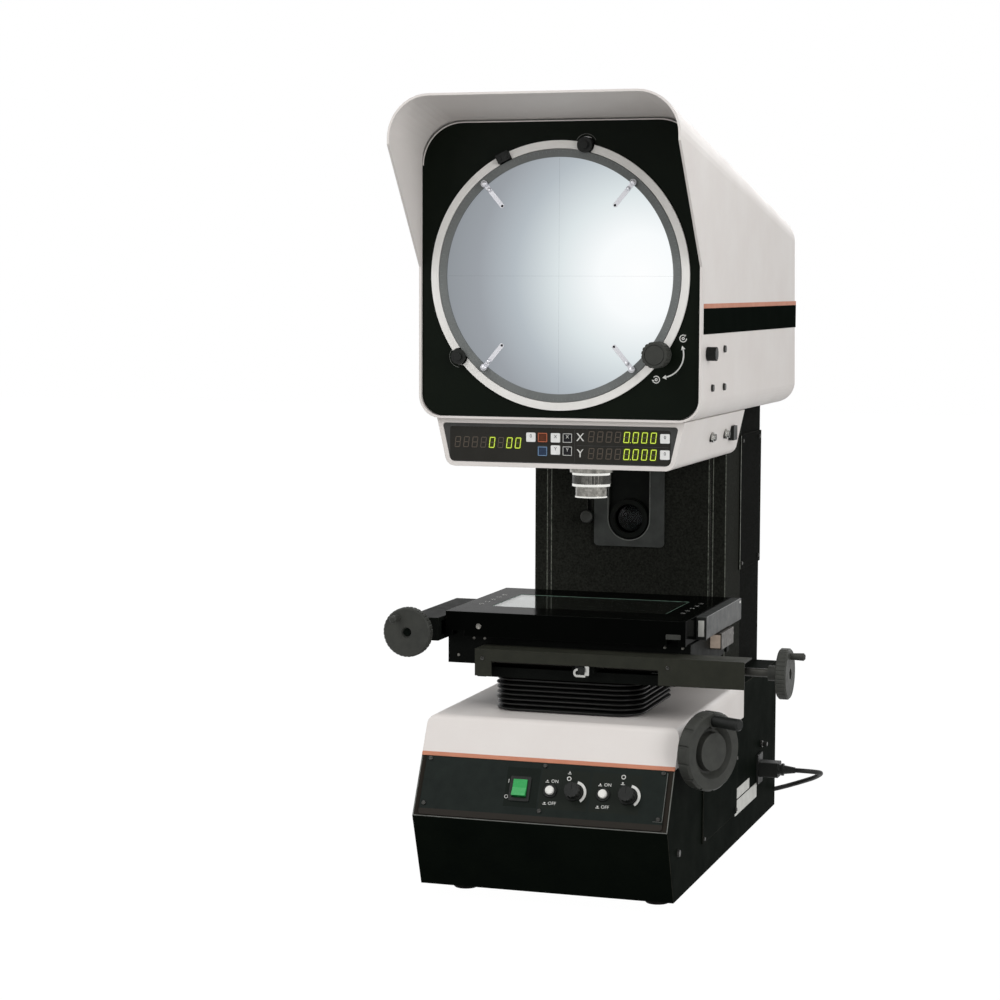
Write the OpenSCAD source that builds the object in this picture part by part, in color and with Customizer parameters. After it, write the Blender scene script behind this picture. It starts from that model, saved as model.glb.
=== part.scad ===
// Optical comparator (bench profile projector): hooded round screen, digital counter under the
// head, cross-travel glass stage on a lifting column, oblique focus handwheel, power cord.
// Frame: millimetres, +Z up, front faces -Y, origin on the floor under the middle of the base.

// Names of the sub-parts, one module each

// Sub-part to draw, or all of them

/* [Base] */
// Width of the base
base_w = 344; // [320:1:380]
// Depth of the base from the front crease to the rear
base_d = 672; // [640:1:720]
// Height of the base top above the floor
base_top = 240; // [232:1:250]
// Height of the rubber feet
foot_h = 18; // [12:1:24]
// Radius of a rubber foot
foot_r = 17; // [12:1:22]
// Distance of the feet from the middle of the base, sideways
foot_x = 133; // [110:1:145]
// Distance of the front feet in front of the middle
foot_front = 231; // [200:1:260]
// Distance of the rear feet behind the middle
foot_back = 231; // [200:1:310]
// Height of the crease in the front of the base
crease_z = 116; // [105:1:125]
// How far the lower front edge stands back from the crease
undercut = 35; // [20:1:45]
// How far the sloped front leans back up to the base top
slope_back = 64; // [50:1:75]
// Depth of the rear block that carries the column
rear_block_d = 228; // [220:1:232]
// Height of the lower edge of the top cover
cover_edge_z = 191; // [186:1:196]
// Wall of the base housing
base_wall = 4; // [3:0.5:6]
// Wall of the top cover
cover_wall = 3; // [2:0.5:4]
// Edge radius of the top cover
cover_r = 12; // [8:1:14]

/* [Controls] */
// Thickness of the control panel and of the service panel
panel_t = 2; // [1.5:0.5:3]
// Height of the controls above the crease, along the slope
control_v = 45; // [44:1:52]
// Sideways place of the power switch
switch_x = -30; // [-60:1:-24]
// Sideways place of the contour light button
button_1_x = 11; // [8:1:14]
// Sideways place of the contour light dimmer
dimmer_1_x = 43; // [40:1:46]
// Sideways place of the surface light button
button_2_x = 82; // [78:1:84]
// Sideways place of the surface light dimmer
dimmer_2_x = 115; // [112:1:125]
// Radius of a dimmer knob
dimmer_r = 11.5; // [10:0.5:14]
// Height of a dimmer knob
dimmer_h = 14; // [14:0.5:22]
// Radius of a push button
button_r = 5.8; // [5.5:0.1:7]
// Travel of a push button
button_travel = 3; // [2:0.5:3]
// Tilt of the rocker at each of its stops
rocker_tilt = 8; // [5:0.5:9]

/* [Column] */
// Width of the column
column_w = 285; // [270:1:300]
// Front face of the column, behind the middle of the base
column_front = 108.5; // [108.5:0.5:116]
// Joint between the column and its rear cover
column_split = 204; // [190:1:220]
// Rear face of the column
column_rear = 333; // [325:1:335]
// Wall of the column
column_wall = 5; // [4:0.5:6]

/* [Head] */
// Width of the head
head_w = 382; // [376:1:392]
// Underside of the head above the floor
head_bottom = 633; // [628:1:640]
// Top of the hood above the floor
head_top = 1048; // [1042:1:1060]
// Drop of the roof from the hood to the rear
head_drop = 131; // [110:1:140]
// Front edge of the hood, in front of the middle
hood_reach = 378; // [360:1:390]
// Rear face of the head, behind the middle
head_rear = 380; // [375:1:390]
// Wall of the head shell
head_wall = 3; // [2.5:0.5:4]
// Corner radius of the roof at the hood
roof_r = 56; // [50:1:60]
// Corner radius along the underside
keel_r = 30; // [24:1:34]
// Corner radius at the rear
back_r = 45; // [38:1:50]
// Height where the front edge starts to lean out into the hood
kink_z = 832; // [825:1:845]
// Height where the hood edge turns upright
lip_z = 985; // [970:1:995]

/* [Screen] */
// Height of the screen centre
screen_z = 820; // [815:1:825]
// Front face of the black front panel, in front of the middle
panel_y = 254; // [250:1:256]
// Distance from the edge of the ground glass to the side of the head
glass_inset = 38; // [37.5:0.5:41]
// Width of the rotating band
band_w = 10.2; // [9.8:0.2:10.6]
// Width of the fixed bezel
bezel_w = 10; // [8:0.5:10.5]
// Place of the clip pivots inside the outer edge of the band
clip_inset = 7.7; // [7.2:0.1:8]
// Length of a chart clip from pivot to tip
clip_len = 40; // [30:1:46]
// Radius of the rotation knob
turn_knob_r = 17; // [14:0.5:18]

/* [Counter] */
// Height of the counter unit
counter_h = 63; // [60:1:70]
// Width of the counter at the top
counter_w = 336; // [326:1:344]
// How much each side of the counter leans in towards the bottom
counter_lean = 14; // [12:1:24]
// Front face of the counter, in front of the middle
counter_y = 251; // [246:1:253]
// White rim left round the display window
window_rim = 6; // [4:0.5:8]

/* [Optics] */
// Optical axis, in front of the middle of the base
axis_y = 92; // [88:1:96]
// Lower end of the projection lens above the floor
lens_low_z = 519.5; // [512:0.5:526]
// Radius of the knurled lens ring
lens_ring_r = 26; // [24:0.5:30]
// Radius of the lens tube
lens_tube_r = 22; // [20:0.5:23]
// Height of the surface light lens
light_z = 472; // [468:1:478]
// Radius of the surface light barrel
light_r = 28; // [24:0.5:28.5]

/* [Stage] */
// Top of the stage above the floor
stage_top = 372; // [370:1:376]
// Width of the stage table
table_w = 331; // [325:1:337]
// Depth of the stage table
table_d = 265; // [255:1:275]
// Thickness of the stage table
table_t = 33; // [31:1:35]
// Width of the stage glass
glass_w = 245; // [225:1:250]
// Depth of the stage glass
glass_d = 133; // [115:1:140]
// Thickness of the stage glass
glass_t = 6; // [4:0.5:8]
// Height of the cross carriage
carriage_h = 39; // [37:1:40]
// Thickness of the saddle
saddle_h = 13.5; // [12:0.5:14]
// Clearance between parts that slide on each other
slide_gap = 0.35; // [0.3:0.05:0.5]
// Radial clearance of a running shaft
fit_gap = 0.05; // [0.03:0.01:0.08]
// Width of the bellows
bellows_w = 200; // [190:2:208]
// Number of bellows folds
bellows_n = 9; // [6:1:10]

/* [Focus drive] */
// How far the focus axis turns forward from the right-hand side
focus_angle = 27.2; // [24:0.1:30]
// Height of the focus axis
focus_z = 212; // [208:0.5:214]
// Distance of the wheel back from the rack, along the focus axis
focus_reach = 252; // [250:1:262]
// Radius of the focus handwheel
focus_r = 51.5; // [48:0.5:52]
// Thickness of the focus handwheel
focus_t = 20; // [17:0.5:24]
// Radius of the focus shaft
shaft_r = 6; // [5:0.5:7]
// Gear module of rack and pinion
gear_m = 1.25; // [1.25:0.05:1.4]
// Teeth on the pinion
pinion_n = 18; // [17:1:20]
// Outer radius of the lifting tube
lift_r = 45; // [42:0.5:46]

/* [Feed drives] */
// Radius of the small handwheels
wheel_r = 33; // [28:0.5:36]
// Thickness of the small handwheels
wheel_t = 14; // [10:0.5:18]
// Radius of the feed screws
screw_r = 5.5; // [4.5:0.5:6.5]
// Place of the cross handwheel to the right of the axis
x_wheel_x = 291; // [275:1:300]
// Front face of the Y handwheel, in front of the middle
y_wheel_y = 290; // [285:1:305]

/* [Cord] */
// Diameter of the power cord
cord_d = 7.4; // [6.5:0.1:8]
// Place of the power inlet behind the middle
inlet_y = 215; // [205:1:230]
// Height of the power inlet
inlet_z = 97; // [90:1:104]

/* [Hidden] */
$fn = 48;
hull_fn = 40;

// Base
base_front = -base_d / 2;
base_rear = base_d / 2;
block_front = base_rear - rear_block_d;
floor_z = foot_h + base_wall;
slope_angle = atan(slope_back / (base_top - crease_z));
slope_len = (cover_edge_z - crease_z) / cos(slope_angle);
mouth_lip = 12;
foot_chamfer = 2;
foot_screw_r = 4.5;
window_side = 30;
window_low = 14;
window_high = 12;
panel_side = 8;
panel_edge = 2.5;
panel_r = 4;
service_y0 = -148;
service_y1 = 60;
service_z0 = 62;
service_z1 = 148;
louvre_n = 8;
louvre_h = 4;
louvre_pitch = 10;
louvre_w = 180;
louvre_z = 60;
opening_gap = 3;

// Controls, measured along the slope normal
switch_w = 23;
switch_l = 27;
switch_lip = 1.5;
switch_wall = 1.8;
switch_depth = 22;
rocker_w = switch_w - 2 * switch_wall - 2 * slide_gap;
rocker_l = 22.5;
rocker_low = 7;
rocker_high = 5;
rocker_pin_r = 1.8;
bezel_r = button_r + 3.8;
sleeve_wall = 1.6;
sleeve_depth = 20;
button_low = 10;
button_high = 8;
pot_r = 9;
pot_depth = 16;
pot_shaft_r = 3;
knob_lift = 0.6;
knob_waist = 0.88;
flute_n = 12;
flute_r = 1.4;

// Screws
screw_head_r = 2.8;
screw_head_h = 2;
plug_r = 5;
plug_h = 3;
slot_w = 1.2;
slot_d = 0.8;

// Head
head_half = head_w / 2;
hood_front = -hood_reach;
rear_top = head_top - head_drop;
face_y = -panel_y - 4;
front_y = -panel_y;
front_panel_t = 4;
panel_gap = 0.5;

// Screen
glass_r = min(head_w / 2, screen_z - head_bottom + 4) - glass_inset;
band_r = glass_r + band_w;
hole_r = band_r + 1.1;
band_front = front_y - 3.5;
band_t = 3.5;
rim_depth = 17.5;
rim_w = 4.2;
glass_thick = 5.5;
glass_fit = 0.3;
roller_r = 8;
roller_hub_r = band_r + slide_gap + roller_r;
flange_r = 10;
flange_t = 2.5;
axle_r = 3;
drive_r = 6;
drive_hub_r = band_r + slide_gap + drive_r;
drive_shaft_r = 4;
roller_front = band_front - 2 - flange_t;
roller_back = front_y + 15;
bracket_y = roller_back + flange_t + 1;
bracket_t = 4;
bracket_post_r = 4;
bracket_side = 19;
roller_angles = [78, 218];
drive_angle = -36;
index_angle = 116;
index_w = 18;
index_h = 12;
index_t = 8;
clip_r = band_r - clip_inset;
clip_t = 1.2;
clip_w = 6;
clip_head_r = 4.4;
clip_head_h = 3;
clip_angles = [50, 130, 230, 310];
knob_front = 36;
knob_back = 13;

// Counter
counter_low = head_bottom - counter_h;
counter_wall = 3;
counter_r = 14;
window_depth = 2.5;
key_t = 0.6;
key_w = 13;
key_h = 12.4;
key_spots = [[-38, 40], [-22, 40], [-22, 23], [-4.4, 40], [11.8, 40], [-4.4, 23], [11.8, 23],
             [142.6, 42], [142.6, 21]];
socket_ys = [-73, 10];
socket_drop = 29;
port_y = [42, 64];
port_drop = [40, 20];

// Optics
floor_fit = 0.1;
optic = [0, -axis_y, 0];
lens_bore_r = 15;
lens_ring_z = lens_low_z + 15.5;
lens_ring_h = 19;
lens_flange_r = 34;
lens_flange_h = 4;
beam_z = 66;
lamp_front = 66;
lamp_back = 216;
lamp_half = 45;
lamp_low = floor_z;
lamp_high = 112;
lamp_wall = 3;
snout_r = 27;
snout_bore = 22;
snout_len = 74;

// Surface light
plate_half = 52;
plate_low = 431.6;
plate_t = 4;
recess_half = light_r + 2.5;
knob_x = -60;
knob_z = 474;
knob_r = 9.5;
knob_t = 10;
stem_r = 3;
light_travel = 40;
light_glass_r = 21;
light_front = column_front - 6;
light_back = column_front + 40;
sled_t = 6;
sled_h = 150;
sled_right = 44;
sled_left = knob_x - 8;
guide_w = 6;

// Stage stack, from the top down
table_bottom = stage_top - table_t;
carriage_top = table_bottom - slide_gap;
carriage_bottom = carriage_top - carriage_h;
saddle_top = carriage_bottom - slide_gap;
saddle_bottom = saddle_top - saddle_h;
table_y = -90;
table_front = table_y - table_d / 2;
table_back = table_y + table_d / 2;
carriage_half = 168;
carriage_front = -204;
carriage_back = 24;
rail_w = 16;
rail_h = 7;
x_rail_front = -180;
x_rail_back = 2;
y_rail_x = 148;
light_hole_x = 95;
light_hole_y = 55;
saddle_half = 115;
saddle_front = -222;
saddle_back = 20;
glass_ledge = 6;
hole_pitch = 26;
hole_n = 5;
hole_x = 142;
hole_bore_r = 2.5;
hole_deep = 12;
scale_w = 14;
scale_front = -160;
scale_back = 48;
reader_front = -92;
reader_back = -20;
reader_w = 16;
reader_h = 22;

// Feed drives
x_screw_y = -226;
x_screw_z = saddle_top + 12;
cover_x0 = -115;
cover_x1 = 250;
cover_front = -250;
cover_back = -206;
cover_top = 327;
cover_low = 291;
cover_sheet = 2;
cover_window_x0 = -92;
cover_window_x1 = 136;
cover_window_z = 311;
lug_t = 12;
lug_left = -112;
lug_right = 140;
nut_x = 32;
nut_half = 15;
lever_z = 305;
y_block_x0 = -213;
y_block_x1 = -carriage_half - slide_gap;
y_block_front = -245;
y_block_back = -40;
y_block_low = carriage_top - 4.5;
y_block_high = 365;
y_screw_x = -197;
y_screw_z = 350;
y_nut_y = -140;
y_nut_half = 12;
crank_r = 5;
crank_len = 20;
crank_at = wheel_r - 10;
hub_r = 10;

// Focus drive, in a frame turned by focus_angle about the optical axis
pitch_r = gear_m * pinion_n / 2;
tooth_pitch = PI * gear_m;
pressure = 20;
backlash = 0.16;
addendum = 0.8 * gear_m;
dedendum = 1.25 * gear_m;
rack_pitch_y = lift_r + 0.2 + dedendum;
focus_off = rack_pitch_y + pitch_r;
rack_half = 8;
rack_low = focus_z - 26 * tooth_pitch;
rack_teeth = 31;
lift_wall = 9;
lift_low = 112;
guide_r = 62;
guide_foot_r = 82;
guide_top = base_top - cover_wall;
boss_half = 34;
boss_out = 15;
boss_r = 16;
pinion_half = 9;
shaft_in = 30;
grip_at = 40;
grip_r = 7.8;
grip_len = 42;
grip_pin_r = 3.5;
scallop_n = 14;
scallop_r = 2.2;

// Bellows
bellows_y = -118;
bellows_r = 36;
bellows_wall = 12;
bellows_low = base_top;
bellows_high = saddle_bottom;

// Cord
cord_r = cord_d / 2;
inlet_w = 32;
inlet_h = 44;
inlet_t = 3;
socket_w = 24.4;
socket_h = 16.4;
socket_deep = 15;
nose_gap = 0.2;
connector_w = 30;
connector_h = 22;
connector_x = base_w / 2 + inlet_t;
connector_len = 28;
relief_len = 24;
cord_start = connector_x + connector_len + relief_len;
coil_x = 10;
coil_y = 450;
coil_mid_r = 38;
coil_wide = 3 * cord_d;
coil_tall = 2 * cord_d;
plug_len = 40;
plug_w = 32;
plug_t = 20;
plug_x = coil_x + 30;
plug_y = coil_y + coil_mid_r + cord_d;
pin_r = 2.4;
pin_len = 19;

// Colours of the CAD preview
black = [0.1, 0.1, 0.1];
dark = [0.25, 0.25, 0.25];
pale = [0.85, 0.82, 0.8];
silver = [0.75, 0.75, 0.76];
clear = [0.75, 0.85, 0.9, 0.5];
green = [0.2, 0.7, 0.35];

// Geometry helpers

function unit(v) = v / norm(v);

function slope_y(z) = base_front + (z - crease_z) * slope_back / (base_top - crease_z);

// Crossing point of the line through p along u with the line through q along v
function meet(p, u, q, v) =
  let (d = u[0] * v[1] - u[1] * v[0], w = q - p)
  p + u * (w[0] * v[1] - w[1] * v[0]) / d;

// Polygon moved inwards by d; the points run counter-clockwise
function inset(pts, d) =
  let (n = len(pts))
  [for (i = [0 : n - 1])
    let (a = pts[(i + n - 1) % n], b = pts[i], c = pts[(i + 1) % n], u = unit(b - a), v = unit(c - b))
    meet(a + d * [-u[1], u[0]], u, b + d * [-v[1], v[0]], v)];

// Arc of radius r that rounds the corner b between a and c
function fillet(a, b, c, r, n) =
  r <= 0 ? [b] :
  let (u = unit(a - b), v = unit(c - b), half = acos(u * v) / 2)
  let (mid = b + unit(u + v) * r / sin(half), s = b + u * r / tan(half), e = b + v * r / tan(half))
  let (a0 = atan2(s[1] - mid[1], s[0] - mid[0]), a1 = atan2(e[1] - mid[1], e[0] - mid[0]))
  let (turn = a1 - a0 > 180 ? a1 - a0 - 360 : a1 - a0 < -180 ? a1 - a0 + 360 : a1 - a0)
  [for (i = [0 : n]) mid + r * [cos(a0 + turn * i / n), sin(a0 + turn * i / n)]];

// Polygon with its corners rounded, each by its own radius
function rounded(pts, radii) =
  let (n = len(pts))
  [for (i = [0 : n - 1]) each fillet(pts[(i + n - 1) % n], pts[i], pts[(i + 1) % n], radii[i], 8)];

function rect(x0, y0, x1, y1) = [[x0, y0], [x1, y0], [x1, y1], [x0, y1]];

function soft_rect(w, h, r) = rounded(rect(-w / 2, -h / 2, w / 2, h / 2), [r, r, r, r]);

// Place on the screen: centre plus radius r at an angle from the right-hand side
function on_screen(r, angle) = [r * cos(angle), 0, screen_z + r * sin(angle)];

// Sketch in Y and Z drawn along X, centred
module along_x(len) {
  rotate([90, 0, 90])
    linear_extrude(height = len, center = true)
      children();
}

// Sketch in X and Z drawn along Y
module along_y(y0, y1) {
  translate([0, y1, 0])
    rotate([90, 0, 0])
      linear_extrude(height = y1 - y0)
        children();
}

// Box between two corners
module box(a, b) {
  translate(a)
    cube(b - a);
}

module rod_x(x0, x1, r) {
  translate([x0, 0, 0])
    rotate([0, 90, 0])
      cylinder(h = x1 - x0, r = r);
}

module rod_y(y0, y1, r) {
  translate([0, y1, 0])
    rotate([90, 0, 0])
      cylinder(h = y1 - y0, r = r);
}

module on_slope(x = 0, v = 0) {
  translate([0, base_front, crease_z])
    rotate([90 - slope_angle, 0, 0])
      translate([x, v, 0])
        children();
}

module focus_frame() {
  translate(optic)
    rotate([0, 0, -focus_angle])
      children();
}

// Slotted screw head standing on the XY plane
module screw_head(r, h) {
  difference() {
    cylinder(h = h, r1 = r, r2 = r * 0.9);
    translate([-r, -slot_w / 2, h - slot_d])
      cube([2 * r, slot_w, 2 * slot_d]);
  }
}

// Plano-convex lens with its flat face on the XY plane
module lens(r, t, dome) {
  ball_r = (r * r + dome * dome) / (2 * dome);
  intersection() {
    cylinder(h = t + dome, r = r);
    translate([0, 0, t + dome - ball_r])
      sphere(r = ball_r);
  }
}

// Base

base_profile = [
  [base_front + undercut, foot_h],
  [base_rear, foot_h],
  [base_rear, base_top],
  [block_front, base_top],
  [block_front, cover_edge_z],
  [slope_y(cover_edge_z), cover_edge_z],
  [base_front, crease_z]
];

module base_housing() {
  color(black)
    difference() {
      along_x(base_w)
        polygon(base_profile);
      along_x(base_w - 2 * base_wall)
        polygon(inset(base_profile, base_wall));
      box([-base_w / 2 + mouth_lip, slope_y(cover_edge_z) + mouth_lip, cover_edge_z - 2 * base_wall],
        [base_w / 2 - mouth_lip, block_front - mouth_lip, cover_edge_z + base_wall]);
      on_slope()
        box([-base_w / 2 + window_side, window_low, -3 * base_wall],
          [base_w / 2 - window_side, slope_len - window_high, base_wall]);
      box([base_w / 2 - 2 * base_wall, inlet_y - inlet_w / 2 + 3, inlet_z - inlet_h / 2 + 3],
        [base_w / 2 + base_wall, inlet_y + inlet_w / 2 - 3, inlet_z + inlet_h / 2 - 3]);
      for (i = [0 : louvre_n - 1])
        translate([-louvre_w / 2, base_rear - 2 * base_wall, louvre_z + i * louvre_pitch])
          cube([louvre_w, 3 * base_wall, louvre_h]);
    }
}

// Solid of the top cover, smaller by the amount d all round and longer at its open sides
module cover_solid(d, open) {
  edge = cover_edge_z - open;
  half = base_w / 2 - d;
  top = base_top - d;
  lean = d / cos(slope_angle);
  back = block_front + open;
  intersection() {
    along_x(base_w)
      polygon(rounded([[slope_y(edge) + lean, edge], [back, edge], [back, top], [slope_y(top) + lean, top]],
              [0, 0, 0, cover_r - d]));
    along_y(base_front, base_rear)
      polygon(rounded(rect(-half, edge - 1, half, top), [0, 0, cover_r - d, cover_r - d]));
  }
}

module top_cover() {
  color(pale)
    difference() {
      union() {
        cover_solid(0, 0);
        focus_frame()
          translate([0, -focus_off, focus_z])
            rod_x(focus_reach - 50, focus_reach - 3, boss_r);
      }
      cover_solid(cover_wall, 40);
      focus_frame()
        translate([0, -focus_off, focus_z])
          rod_x(focus_reach - 90, focus_reach, shaft_r + opening_gap);
      translate([optic[0], optic[1], guide_top - 1])
        cylinder(h = 3 * cover_wall, r = lift_r + opening_gap);
      focus_frame()
        box([-rack_half - opening_gap, -rack_pitch_y - addendum - opening_gap, guide_top - 1],
          [rack_half + opening_gap, 0, base_top + 1]);
    }
}

module rubber_feet() {
  color(black)
    for (x = [-foot_x, foot_x], y = [-foot_front, foot_back])
      translate([x, y, 0]) {
        difference() {
          union() {
            cylinder(h = foot_chamfer, r1 = foot_r - foot_chamfer, r2 = foot_r);
            translate([0, 0, foot_chamfer])
              cylinder(h = foot_h - foot_chamfer, r = foot_r);
          }
          translate([0, 0, -1])
            cylinder(h = foot_h / 2 + 1, r = foot_screw_r);
        }
      }
}

module control_panel() {
  mid = slope_len / 2;
  color(dark)
    on_slope()
      difference() {
        translate([0, mid, 0])
          linear_extrude(height = panel_t)
            polygon(soft_rect(base_w - 2 * panel_side, slope_len - 2 * panel_edge, panel_r));
        translate([switch_x - switch_w / 2, control_v - switch_l / 2, -1])
          cube([switch_w, switch_l, panel_t + 2]);
        for (x = [button_1_x, button_2_x])
          translate([x, control_v, -1])
            cylinder(h = panel_t + 2, r = button_r + slide_gap + sleeve_wall);
        for (x = [dimmer_1_x, dimmer_2_x])
          translate([x, control_v, -1])
            cylinder(h = panel_t + 2, r = pot_shaft_r + 2);
      }
}

module panel_fittings() {
  color(black) {
    on_slope(switch_x, control_v)
      difference() {
        union() {
          translate([-switch_w / 2, -switch_l / 2, -switch_depth])
            cube([switch_w, switch_l, switch_depth + panel_t]);
          translate([0, 0, panel_t])
            linear_extrude(height = switch_lip)
              polygon(soft_rect(switch_w + 5, switch_l + 6, 2));
        }
        translate([-switch_w / 2 + switch_wall, -switch_l / 2 + switch_wall, 3 - switch_depth])
          cube([switch_w - 2 * switch_wall, switch_l - 2 * switch_wall, switch_depth + 20]);
        rod_x(-switch_w, switch_w, rocker_pin_r + fit_gap);
      }
    for (x = [button_1_x, button_2_x])
      on_slope(x, control_v)
        difference() {
          union() {
            translate([0, 0, -sleeve_depth])
              cylinder(h = sleeve_depth + panel_t, r = button_r + slide_gap + sleeve_wall);
            translate([0, 0, panel_t])
              cylinder(h = 2, r1 = bezel_r, r2 = bezel_r - 1);
          }
          translate([0, 0, 2 - sleeve_depth])
            cylinder(h = sleeve_depth + 10, r = button_r + slide_gap);
        }
    for (x = [dimmer_1_x, dimmer_2_x])
      on_slope(x, control_v)
        difference() {
          union() {
            translate([0, 0, -pot_depth])
              cylinder(h = pot_depth, r = pot_r);
            cylinder(h = panel_t, r = pot_shaft_r + 2);
          }
          translate([0, 0, 4 - pot_depth])
            cylinder(h = pot_depth + 10, r = pot_shaft_r + fit_gap);
        }
  }
}

module power_rocker() {
  high = panel_t + rocker_high;
  color(green)
    on_slope(switch_x, control_v)
      rotate([-rocker_tilt, 0, 0]) {
        along_x(rocker_w)
          polygon([[-rocker_l / 2 + 3, -rocker_low], [rocker_l / 2 - 3, -rocker_low],
                             [rocker_l / 2, high], [0, high - 1.6], [-rocker_l / 2, high]]);
        rod_x(-rocker_w / 2 - 1.2, rocker_w / 2 + 1.2, rocker_pin_r);
      }
}

module push_button() {
  translate([0, 0, -button_low])
    cylinder(h = button_low + button_high - 1, r = button_r);
  translate([0, 0, button_high - 1])
    cylinder(h = 1, r1 = button_r, r2 = button_r - 0.8);
}

module contour_button() {
  color(pale)
    on_slope(button_1_x, control_v)
      push_button();
}

module surface_button() {
  color(pale)
    on_slope(button_2_x, control_v)
      push_button();
}

// Fluted knob on a shaft, with a pointer groove
module dimmer_knob() {
  base = panel_t + knob_lift;
  translate([0, 0, 5 - pot_depth])
    cylinder(h = pot_depth + base, r = pot_shaft_r);
  difference() {
    union() {
      translate([0, 0, base])
        cylinder(h = 4, r = dimmer_r);
      translate([0, 0, base + 4])
        cylinder(h = dimmer_h - 4, r = dimmer_r * knob_waist);
    }
    for (i = [0 : flute_n - 1])
      rotate([0, 0, (i + 0.5) * 360 / flute_n])
        translate([dimmer_r * knob_waist + 0.5, 0, base + 4.5])
          cylinder(h = dimmer_h, r = flute_r);
    translate([-0.6, 0, base + dimmer_h - 0.6])
      cube([1.2, dimmer_r, 2]);
  }
}

module contour_dimmer() {
  color(dark)
    on_slope(dimmer_1_x, control_v)
      dimmer_knob();
}

module surface_dimmer() {
  color(dark)
    on_slope(dimmer_2_x, control_v)
      dimmer_knob();
}

module service_panel() {
  color(dark)
    box([base_w / 2, service_y0, service_z0], [base_w / 2 + panel_t, service_y1, service_z1]);
}

module casing_screws() {
  side = base_w / 2;
  color(silver) {
    for (x = [-base_w / 2 + panel_side + 6, 0, base_w / 2 - panel_side - 6])
      for (v = [panel_edge + 14.8, slope_len - panel_edge - 3.7])
        on_slope(x, v)
          translate([0, 0, panel_t])
            screw_head(screw_head_r, screw_head_h);
    for (y = [service_y0 + 6, service_y1 - 6], z = [service_z0 + 6, service_z1 - 6])
      translate([side + panel_t, y, z])
        rotate([0, 90, 0])
          screw_head(screw_head_r, screw_head_h);
    translate([side, -280, 79])
      rotate([0, 90, 0])
        screw_head(plug_r, plug_h);
    translate([side, inlet_y + 13, inlet_z + 34])
      rotate([0, 90, 0]) {
        cylinder(h = 3, r = 5);
        translate([0, 0, 3])
          cylinder(h = 7, r = 3.2);
      }
    for (s = [-1, 1]) {
      for (p = [[-129, head_bottom + 92], [-198, head_bottom + 43], [-130, head_bottom + 42]])
        translate([s * head_half, p[0], p[1]])
          rotate([0, s * 90, 0])
            screw_head(plug_r, plug_h);
      for (y = [wrap_front + 10, column_rear - 13], z = [wrap_high - 9, wrap_low + 9])
        translate([s * (column_w / 2 + wrap_t), y, z])
          rotate([0, s * 90, 0])
            screw_head(screw_head_r, screw_head_h);
    }
  }
}

// Sockets: power inlet in the base, scale sockets in the counter
module side_sockets() {
  half = base_w / 2;
  counter_side = counter_w / 2 - counter_lean * socket_drop / counter_h;
  color(black) {
    difference() {
      union() {
        box([half, inlet_y - inlet_w / 2, inlet_z - inlet_h / 2],
          [half + inlet_t, inlet_y + inlet_w / 2, inlet_z + inlet_h / 2]);
        box([half - 22, inlet_y - inlet_w / 2 + 3.2, inlet_z - inlet_h / 2 + 3.2],
          [half, inlet_y + inlet_w / 2 - 3.2, inlet_z + inlet_h / 2 - 3.2]);
      }
      box([half + inlet_t - socket_deep, inlet_y - socket_w / 2, inlet_z - socket_h / 2],
        [half + inlet_t + 1, inlet_y + socket_w / 2, inlet_z + socket_h / 2]);
    }
    for (y = socket_ys)
      translate([0, y, head_bottom - socket_drop]) {
        rod_x(counter_side - 8, counter_side + 4, 6.5);
        rod_x(counter_side + 3, counter_side + 7, 4.5);
      }
    box([counter_side - 8, port_y[0], head_bottom - port_drop[0]],
      [counter_side + 6, port_y[1], head_bottom - port_drop[1]]);
  }
}

// Lift guide and pinion bearing

module column_guide() {
  color(dark)
    difference() {
      union() {
        translate(optic + [0, 0, floor_z])
          cylinder(h = guide_top - floor_z, r = guide_r);
        translate(optic + [0, 0, floor_z])
          cylinder(h = 10, r = guide_foot_r);
        focus_frame()
          box([-boss_half, -focus_off - boss_out, focus_z - boss_out],
            [boss_half, 0, min(focus_z + boss_out, guide_top)]);
      }
      translate(optic + [0, 0, floor_z - 1])
        cylinder(h = base_top, r = lift_r + slide_gap);
      focus_frame()
        box([-rack_half - slide_gap, -rack_pitch_y - addendum - slide_gap, floor_z + 30],
          [rack_half + slide_gap, 0, base_top]);
      focus_frame()
        translate([0, -focus_off, focus_z]) {
          rod_x(-pinion_half - 1, pinion_half + 1, pitch_r + gear_m + 1.5);
          rod_x(-boss_half - 1, boss_half + 1, shaft_r + fit_gap);
        }
      box([-36, -axis_y, beam_z - 30], [36, -axis_y + guide_foot_r + 10, beam_z + 32]);
    }
}

// Lamp, condenser and mirrors

module lamp_house() {
  color(dark) {
    difference() {
      union() {
        box([-lamp_half, lamp_front, lamp_low], [lamp_half, lamp_back, lamp_high]);
        translate([0, 0, beam_z])
          rod_y(lamp_front - snout_len, lamp_front, snout_r);
      }
      box([-lamp_half + lamp_wall, lamp_front + lamp_wall, lamp_low + lamp_wall],
        [lamp_half - lamp_wall, lamp_back - lamp_wall, lamp_high - lamp_wall]);
      translate([0, 0, beam_z])
        rod_y(lamp_front - snout_len - 1, lamp_front + 10, snout_bore);
      for (i = [0 : 4])
        box([-25, lamp_front + 30 + i * 20, lamp_high - 2 * lamp_wall],
          [25, lamp_front + 38 + i * 20, lamp_high + 1]);
    }
    translate([0, lamp_back - lamp_wall - 40, beam_z]) {
      rod_y(12, 40, 14);
      rod_y(-6, 12, 8);
    }
  }
}

module lenses() {
  color(clear) {
    translate([0, lamp_front - snout_len + 6, beam_z])
      rotate([-90, 0, 0])
        lens(snout_bore - fit_gap, 6, 7);
    translate(optic + [0, 0, lens_low_z + 2])
      lens(lens_bore_r - fit_gap, 4, 3);
  }
}

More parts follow.
